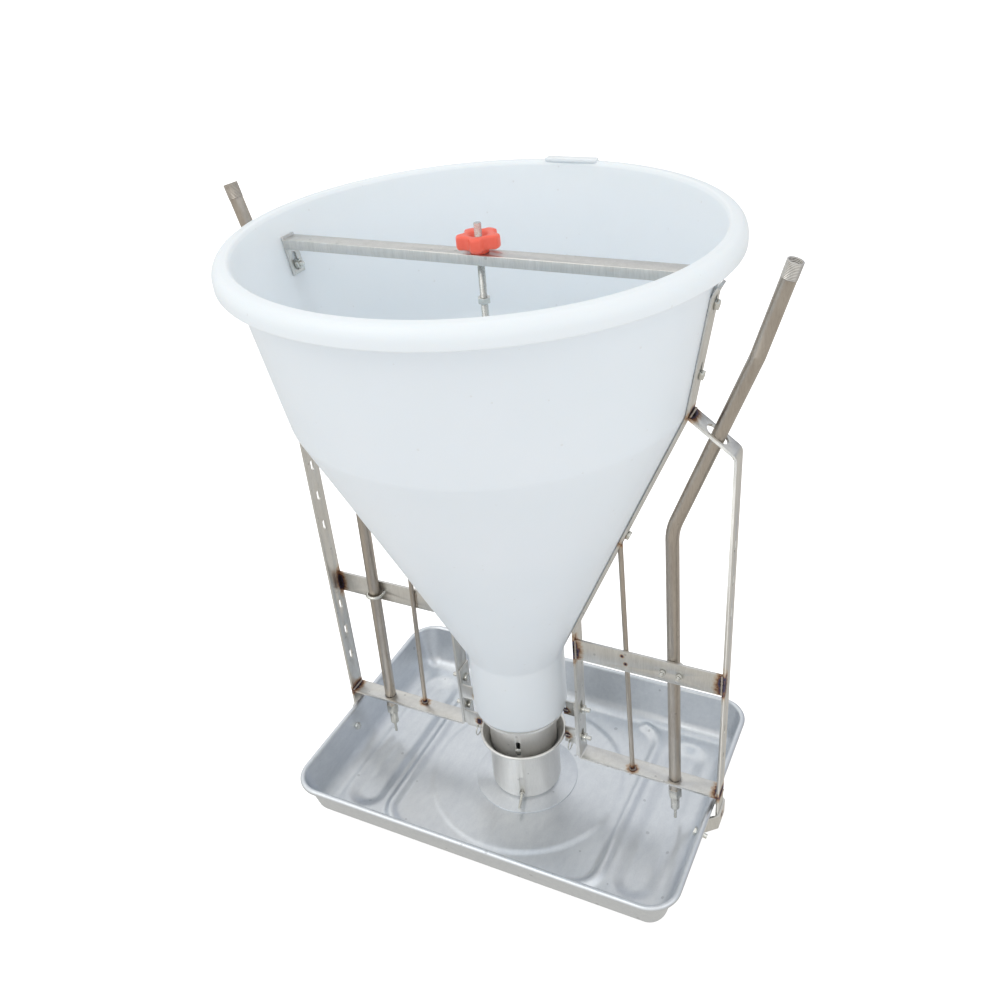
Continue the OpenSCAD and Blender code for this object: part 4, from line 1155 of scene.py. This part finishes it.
@dataclass
class StarKnob:
    """The five-lobed hand knob, in millimetres.

    Attributes:
        foot: Height of its underside.
        hub_h: Height of its hub.
        radius: Its radius.
        lobes: How many lobes it has.
        scallop_r: Radius of the hollows between them.
        scallop_at: Distance of the hollows from the middle.
        bore_r: Radius of its bore.
        points: Points round its outline.
        soft: Rounds of smoothing of the outline.
        upper: Share of the radius and height over the hub of each ring above the hub.
        under: The same for the rings below it.
        recess: Height over the hub of the upper end of the bore.
    """

    foot: float = 994.3
    hub_h: float = 7.0
    radius: float = 30.0
    lobes: int = 5
    scallop_r: float = 12.5
    scallop_at: float = 34.0
    bore_r: float = 8.06
    points: int = 160
    soft: int = 3
    upper: tuple[tuple[float, float], ...] = (
        (0.93, 0.0),
        (0.97, 0.7),
        (0.995, 2.4),
        (1.0, 4.5),
        (1.0, 12.5),
        (0.99, 14.8),
        (0.96, 16.6),
        (0.90, 17.6),
        (0.72, 18.0),
        (0.50, 17.4),
        (0.42, 16.0),
        (0.37, 13.0),
    )
    under: tuple[tuple[float, float], ...] = (
        (0.62, -0.6),
        (0.46, -1.6),
        (0.43, -3.0),
        (0.43, -6.3),
        (0.41, -7.0),
    )
    recess: float = 9.0

    def outline(self) -> list[Vector]:
        """Returns the star's outline at its widest."""
        line = []
        for step in range(self.points):
            turn = 2 * math.pi * step / self.points
            lobe = 2 * math.pi / self.lobes
            off = (turn + lobe / 2) % lobe - lobe / 2
            near = lobe / 2 - abs(off)
            drop = self.scallop_r**2 - (self.scallop_at * math.sin(near)) ** 2
            reach = self.radius
            if drop > 0:
                reach = min(reach, self.scallop_at * math.cos(near) - math.sqrt(drop))
            line.append(Vector((reach * math.cos(turn), reach * math.sin(turn), 0)))
        for _ in range(self.soft):
            before = [line[-1], *line[:-1]]
            after = [*line[1:], line[0]]
            line = [(a + 2 * b + c) / 4 for a, b, c in zip(before, line, after)]
        return line

    def build(self, finish: bpy.types.Material) -> None:
        """Makes the knob.

        Args:
            finish: Its plastic.
        """
        piece = Piece("star_knob_moulding", Body.KNOB, Slot.KNOB, ("star_knob",))
        hub_top = Vector((0, 0, self.foot + self.hub_h))
        ring = piece.line([p + hub_top for p in self.outline()], closed=True)
        loop = self.in_order(ring)
        star = [v.co.copy() for v in loop]
        bore = self.bore_r / self.radius
        self.shape(loop, star, *self.upper[0])
        self.grow(piece, ring, star, (*self.upper[1:], (bore, self.recess)))
        self.grow(piece, ring, star, (*self.under, (bore, -self.hub_h)))
        piece.face_out()
        piece.finish(finish, 60.0)

    @staticmethod
    def in_order(ring: list[bmesh.types.BMEdge]) -> list[bmesh.types.BMVert]:
        """Returns a ring's vertices in order round the axis."""
        return sorted({v for e in ring for v in e.verts}, key=lambda v: math.atan2(v.co.y, v.co.x))

    def grow(
        self,
        piece: Piece,
        ring: list[bmesh.types.BMEdge],
        star: list[Vector],
        levels: Sequence[tuple[float, float]],
    ) -> None:
        """Draws a skin out from a ring, level by level.

        Args:
            piece: The knob.
            ring: The ring to start from.
            star: The star's outline.
            levels: Share of the radius and height over the hub of each ring.
        """
        for scale, lift in levels:
            made = bmesh.ops.extrude_edge_only(piece.mesh, edges=ring)["geom"]
            ring = [g for g in made if isinstance(g, bmesh.types.BMEdge)]
            self.shape(self.in_order(ring), star, scale, lift)

    def shape(self, loop: list[bmesh.types.BMVert], star: list[Vector], scale: float, lift: float) -> None:
        """Moves a ring of the knob to its level. Small rings turn from a star to a circle.

        Args:
            loop: The ring's vertices in order round the axis.
            star: The star's outline in the same order.
            scale: The ring's share of the radius.
            lift: Its height over the hub.
        """
        starry = min(1.0, max(0.0, (scale - 0.45) / 0.4))
        for spot, wide in zip(loop, star):
            flat = Vector((wide.x, wide.y, 0))
            circle = flat.normalized() * self.radius * scale
            spot.co = circle.lerp(flat * scale, starry) + Vector((0, 0, self.foot + self.hub_h + lift))


@dataclass(frozen=True)
class Run:
    """A run of weld metal from one place to another, in the right half of the feeder, in millimetres."""

    start: Place
    end: Place
    radius: float = 1.7


@dataclass
class Welds:
    """The ripples of weld metal where bars, rods and sheets meet."""

    spacing: float = 1.5
    unevenness: float = 0.22
    squash: Place = (1.0, 1.0, 0.8)

    def build(self, runs: Sequence[Run], finish: bpy.types.Material) -> None:
        """Makes the welds of both side frames.

        Args:
            runs: The runs of the right side frame.
            finish: The weld metal.
        """
        for name, turn in (("welds_right", Matrix.Identity(4)), ("welds_left", HALF_TURN)):
            piece = Piece(name, Body.FEEDER, Slot.BAR)
            for run in runs:
                self.chain(piece, run)
            piece.place(turn)
            piece.finish(finish, 80.0)

    def chain(self, piece: Piece, run: Run) -> None:
        """Lays one run as overlapping ripples.

        Args:
            piece: The side frame's welds.
            run: The run.
        """
        start = Vector(run.start)
        way = Vector(run.end) - start
        count = max(1, round(way.length / self.spacing))
        for step in range(count + 1):
            at = start + way * step / count
            wobble = noise.noise(at * 0.9)
            piece.blob(at, run.radius * (1 + self.unevenness * wobble), self.squash)


def round_rod(at: Place, radius: float, bead: float = 1.5) -> list[Run]:
    """Plans the weld round the foot of a rod.

    Args:
        at: The middle of the rod's foot.
        radius: Radius of the weld's ring.
        bead: Radius of its ripples.

    Returns:
        The short runs round the ring.
    """
    x, y, z = at
    ring = [2 * math.pi * step / 8 for step in range(9)]
    spots = [(x + radius * math.cos(t), y + radius * math.sin(t), z) for t in ring]
    return [Run(a, b, bead) for a, b in zip(spots, spots[1:])]


@dataclass
class Studio:
    """Plain pale floor, soft light and the photograph's camera, sizes in millimetres."""

    eye: Place = (611.5, -1132.8, 1413.5)
    azimuth: float = 0.4979
    elevation: float = 0.5594
    roll: float = 0.0928
    focal: float = 35.94
    sensor: float = 36.0
    near: float = 0.05
    far: float = 200.0
    floor_r: float = 40000.0
    floor_gap: float = 0.5
    floor_glow: float = 0.6
    floor_mirrored: Colour = (0.66, 0.64, 0.60)
    floor_low: Colour = (0.9, 0.9, 0.9)
    floor_high: Colour = (0.93, 0.93, 0.93)
    even: Colour = (0.89, 0.89, 0.89)
    bright_side: Place = (-0.34, -0.5, 0.796)
    sky_dim: Colour = (0.40, 0.43, 0.50)
    sky_bright: Colour = (1.12, 1.12, 1.1)
    white: Colour = (1.0, 1.0, 1.0)
    lamp_aim: Place = (0.0, 0.0, 550.0)

    def camera(self) -> None:
        """Sets up the camera."""
        data = bpy.data.cameras.new("camera")
        data.lens = self.focal
        data.sensor_width = self.sensor
        data.clip_start = self.near
        data.clip_end = self.far
        seen = bpy.data.objects.new("camera", data)
        bpy.context.scene.collection.objects.link(seen)
        away = Vector(
            (
                math.sin(self.azimuth) * math.cos(self.elevation),
                -math.cos(self.azimuth) * math.cos(self.elevation),
                math.sin(self.elevation),
            )
        )
        level = (-away).cross(Vector((0, 0, 1))).normalized()
        down = (-away).cross(level)
        right = math.cos(self.roll) * level + math.sin(self.roll) * down
        lower = -math.sin(self.roll) * level + math.cos(self.roll) * down
        turn = Matrix((right, -lower, away)).transposed().to_4x4()
        seen.matrix_world = Matrix.Translation(Vector(self.eye) * MM) @ turn
        bpy.context.scene.camera = seen

    def light(self) -> None:
        """Adds the world's even light and two large soft lamps."""
        world = bpy.data.worlds.new("studio")
        bpy.context.scene.world = world
        world.use_nodes = True
        world.node_tree.nodes.clear()
        graph = Graph(world.node_tree)
        path = graph.add("LightPath")
        direct = graph.math("MAXIMUM", path.outputs["Is Camera Ray"], path.outputs["Is Transmission Ray"])
        way = graph.add("TexCoord").outputs["Generated"]
        toward = graph.vector("DOT_PRODUCT", way, self.bright_side).outputs["Value"]
        mirrored = graph.mix(graph.span(toward, -0.6, 0.8), self.sky_dim, self.sky_bright)
        level = graph.mix(path.outputs["Is Glossy Ray"], self.even, mirrored)
        level = graph.mix(direct, level, self.white)
        sky = graph.add("Background", Color=level, Strength=1.0)
        sink = graph.add("OutputWorld")
        graph.feed(sink.inputs["Surface"], sky.outputs[0])
        self.lamp("key", (-900, -1600, 2600), 1.6, 9.0)
        self.lamp("fill", (2300, -300, 1700), 1.8, 5.0)

    def lamp(self, name: str, at: Place, size: float, power: float) -> None:
        """Adds a square area lamp that faces the feeder.

        Args:
            name: The lamp's name.
            at: Its place.
            size: Its width in metres.
            power: Its power in watts.
        """
        data = bpy.data.lights.new(name, "AREA")
        data.shape = "SQUARE"
        data.size = size
        data.energy = power
        lamp = bpy.data.objects.new(name, data)
        bpy.context.scene.collection.objects.link(lamp)
        lamp.location = Vector(at) * MM
        aim = Vector(self.lamp_aim) * MM - lamp.location
        lamp.rotation_euler = aim.to_track_quat("-Z", "Y").to_euler()

    def floor(self) -> None:
        """Lays a wide pale floor."""
        material = bpy.data.materials.new("studio floor")
        material.use_nodes = True
        material.node_tree.nodes.clear()
        graph = Graph(material.node_tree)
        path = graph.add("LightPath")
        seen = graph.math("MULTIPLY", path.outputs["Is Camera Ray"], self.floor_glow)
        cloud = graph.add("TexNoise", Vector=graph.add("TexCoord").outputs["Object"], Scale=2.0)
        paint = graph.mix(cloud.outputs[0], self.floor_low, self.floor_high)
        matt = graph.add("BsdfDiffuse", Color=paint)
        glow = graph.add("Emission", Color=self.white, Strength=seen)
        both = graph.add("AddShader")
        graph.feed(both.inputs[0], matt.outputs[0])
        graph.feed(both.inputs[1], glow.outputs[0])
        mirrored = graph.add("Emission", Color=self.floor_mirrored, Strength=1.0)
        ground = graph.add("MixShader", Fac=path.outputs["Is Glossy Ray"])
        graph.feed(ground.inputs[1], both.outputs[0])
        graph.feed(ground.inputs[2], mirrored.outputs[0])
        sink = graph.add("OutputMaterial")
        graph.feed(sink.inputs["Surface"], ground.outputs[0])
        mesh = bmesh.new()
        bmesh.ops.create_circle(mesh, cap_ends=True, radius=self.floor_r * MM, segments=64)
        data = bpy.data.meshes.new("floor")
        mesh.to_mesh(data)
        mesh.free()
        data.materials.append(material)
        made = bpy.data.objects.new("floor", data)
        bpy.context.scene.collection.objects.link(made)
        made.location = (0, 0, -self.floor_gap * MM)

    def build(self) -> None:
        """Sets up the whole studio."""
        bpy.context.scene.view_settings.view_transform = "Standard"
        self.camera()
        self.light()
        self.floor()


AT_UPRIGHT = Scorch((352.4, -13.0, 356.0), 17.0, (1.0, 1.0, 0.42))
AT_STRAP = Scorch((113.5, -13.0, 356.0), 17.0, (1.0, 1.0, 0.42))
AT_FOOT = Scorch((206.2, -6.7, 114.0), 14.0)
AT_CORNER = Scorch((354.0, 0.0, 112.0), 17.0, (1.0, 0.5, 1.0))
AT_SHOULDER = Scorch((292.0, 0.0, 800.0), 15.0, (1.0, 0.5, 1.0))
AT_ROD_TOP = Scorch((191.0, -6.7, 581.0), 15.0)
AT_CROSSING = Scorch((198.5, -10.0, 356.0), 6.0)
SPOT_HIGH = Scorch((193.5, -14.7, 366.0), 5.0)
SPOT_LOW = Scorch((199.5, -14.7, 352.0), 5.0)
AT_LIP = Scorch((80.0, 13.5, 129.0), 12.0)
AT_FLANGE = Scorch((79.0, 13.5, 187.0), 12.0)
AT_CROWN = Scorch((359.0, 0.0, 60.0), 9.0)
AT_CROWN_FOOT = Scorch((354.0, 0.0, 60.0), 12.0)
ROD_WELD = Scorch((0.0, 0.0, 894.0), 14.0)

SCORCHED = {
    "strap": (AT_STRAP, AT_FOOT, AT_CORNER, AT_SHOULDER, AT_ROD_TOP),
    "upright": (AT_UPRIGHT, AT_CORNER, AT_SHOULDER, AT_CROWN_FOOT),
    "mid_bar": (AT_UPRIGHT, AT_STRAP, SPOT_HIGH, SPOT_LOW),
    "brace_rod": (AT_FOOT, AT_ROD_TOP, AT_CROSSING),
    "neck_bracket": (AT_LIP, AT_FLANGE),
    "end_clip": (AT_CROWN,),
    "threaded_rod": (ROD_WELD,),
    "plain_rod": (ROD_WELD,),
}

THREADED = {
    "threaded_rod": Thread((0.0, 0.0, 894.0), (0.0, 0.0, 1.0), 139.0, 1.5),
    "water_pipe_right": Thread((401.19, -0.7, 992.6), (0.2824, 0.0, 0.9593), 22.0, 1.81),
    "water_pipe_left": Thread((400.45, -11.0, 1041.94), (0.28529, -0.03795, 0.95769), 22.0, 1.81, 0.1),
    "u_bolt": Thread((0.0, -28.0, 0.0), (0.0, 1.0, 0.0), 24.0, 1.0),
}

WELD_RUNS = [
    Run((351.7, -15.3, 338.5), (351.7, -15.3, 374.5)),
    Run((115.2, -15.3, 338.5), (115.2, -15.3, 374.5)),
    Run((351.6, -13.5, 114.9), (351.6, 13.5, 114.9), 1.9),
    Run((292.6, -13.5, 801.6), (292.6, 13.5, 801.6), 1.8),
    Run((193.9, -10.2, 343.0), (193.2, -10.2, 370.0), 1.5),
    Run((203.2, -10.2, 343.0), (202.5, -10.2, 370.0), 1.5),
    Run((77.5, 11.6, 129.0), (84.0, 11.6, 129.0), 1.4),
    Run((77.0, 11.6, 188.0), (83.0, 11.6, 188.0), 1.4),
    Run((356.8, -13.0, 50.0), (356.8, -13.0, 70.0), 1.2),
    *round_rod((206.2, -6.7, 114.8), 4.8),
    Run((187.6, -9.5, 580.0), (187.6, -3.9, 580.0), 1.7),
    Run((193.5, -9.5, 577.0), (193.5, -3.9, 577.0), 1.5),
]

NODE_CREASE = 34.0

EDGES = {
    Slot.BAR: 0.7,
    Slot.FASTENER: 0.5,
    Slot.TUBE: 0.3,
    Slot.ROD: 0.3,
    Slot.DRINKER: 0.4,
    Slot.TROUGH: 0.3,
    Slot.SEAL: 0.08,
}


def steels() -> dict[Slot, Steel]:
    """Returns the stainless finish of each of the record's slots."""
    return {
        Slot.TROUGH: Steel(
            (0.74, 0.77, 0.80),
            (0.65, 0.68, 0.72),
            (0.32, 0.44),
            (1, 0.4, 1),
            smudge=(0.84, 0.86, 0.88),
            specks=45.0,
        ),
        Slot.TUBE: Steel((0.87, 0.86, 0.83), (0.78, 0.77, 0.74), (0.28, 0.4), (1, 1, 0.1), metal=0.7),
        Slot.BAR: Steel(
            (0.74, 0.73, 0.70),
            (0.62, 0.61, 0.58),
            (0.3, 0.44),
            (1, 1, 0.1),
            smudge=(0.76, 0.79, 0.84),
        ),
        Slot.ROD: Steel(
            (0.55, 0.50, 0.44),
            (0.43, 0.38, 0.33),
            (0.27, 0.4),
            (1, 1, 0.1),
            smudge=(0.62, 0.60, 0.56),
        ),
        Slot.DRINKER: Steel((0.66, 0.64, 0.58), (0.54, 0.52, 0.47), (0.18, 0.3), (1, 1, 0.3)),
        Slot.FASTENER: Steel((0.76, 0.76, 0.72), (0.62, 0.62, 0.58), (0.16, 0.28), relief=0.01),
    }


def node_finish(name: str, steel: Steel, effects: Effects) -> bpy.types.Material:
    """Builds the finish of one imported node, with the welds and threads that are on it.

    Args:
        name: The node.
        steel: Its plain finish.
        effects: The shared node groups.

    Returns:
        The material.
    """
    stem = name.removesuffix("_right").removesuffix("_left")
    thread = THREADED.get(name, THREADED.get(stem))
    turned = name.endswith("_left")
    return steel.material(name.replace("_", " "), effects, SCORCHED.get(stem, ()), turned, thread)


def dress(frame: dict, effects: Effects) -> None:
    """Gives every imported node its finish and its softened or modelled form.

    Args:
        frame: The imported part.
        effects: The shared node groups.
    """
    plastic = Polyethylene().material(effects)
    knob = KnobPlastic().material(effects)
    seal = Rubber().material(effects)
    finishes = steels()
    slots = {part["node"]: Slot(part["material_slot"]) for part in frame["record"]["subparts"]}
    groups = frame["record"]["behaviour"]["bodies"]
    bodies = {name: Body(body) for body, names in groups.items() for name in names}
    plain: dict[Slot, bpy.types.Material] = {Slot.HOPPER: plastic, Slot.KNOB: knob, Slot.SEAL: seal}
    for slot, steel in finishes.items():
        plain[slot] = steel.material(slot.value.replace("_", " "), effects)
    for name, node in frame["nodes"].items():
        slot = slots[name]
        stem = name.removesuffix("_right").removesuffix("_left")
        special = stem in SCORCHED or stem in THREADED or name in THREADED
        finish = node_finish(name, finishes[slot], effects) if special else plain[slot]
        node.data.materials.clear()
        node.data.materials.append(finish)
        if slot in (Slot.HOPPER, Slot.KNOB) or name == "trough":
            continue
        copy = Piece.copy(node, bodies[name], slot)
        copy.soften(EDGES[slot])
        copy.finish(finish, NODE_CREASE)
    Hopper().build(plastic)
    Trough().build(plain[Slot.TROUGH])
    StarKnob().build(knob)
    welded = Steel((0.62, 0.58, 0.52), (0.34, 0.27, 0.21), (0.25, 0.5), fineness=1400.0)
    Welds().build(WELD_RUNS, welded.material("weld metal", effects))


def main() -> None:
    """Builds the feeder's looks in order."""
    logging.basicConfig(level=logging.INFO, format="%(message)s")
    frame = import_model()
    Studio().build()
    effects = Effects()
    dress(frame, effects)


if __name__ == "__main__":
    main()
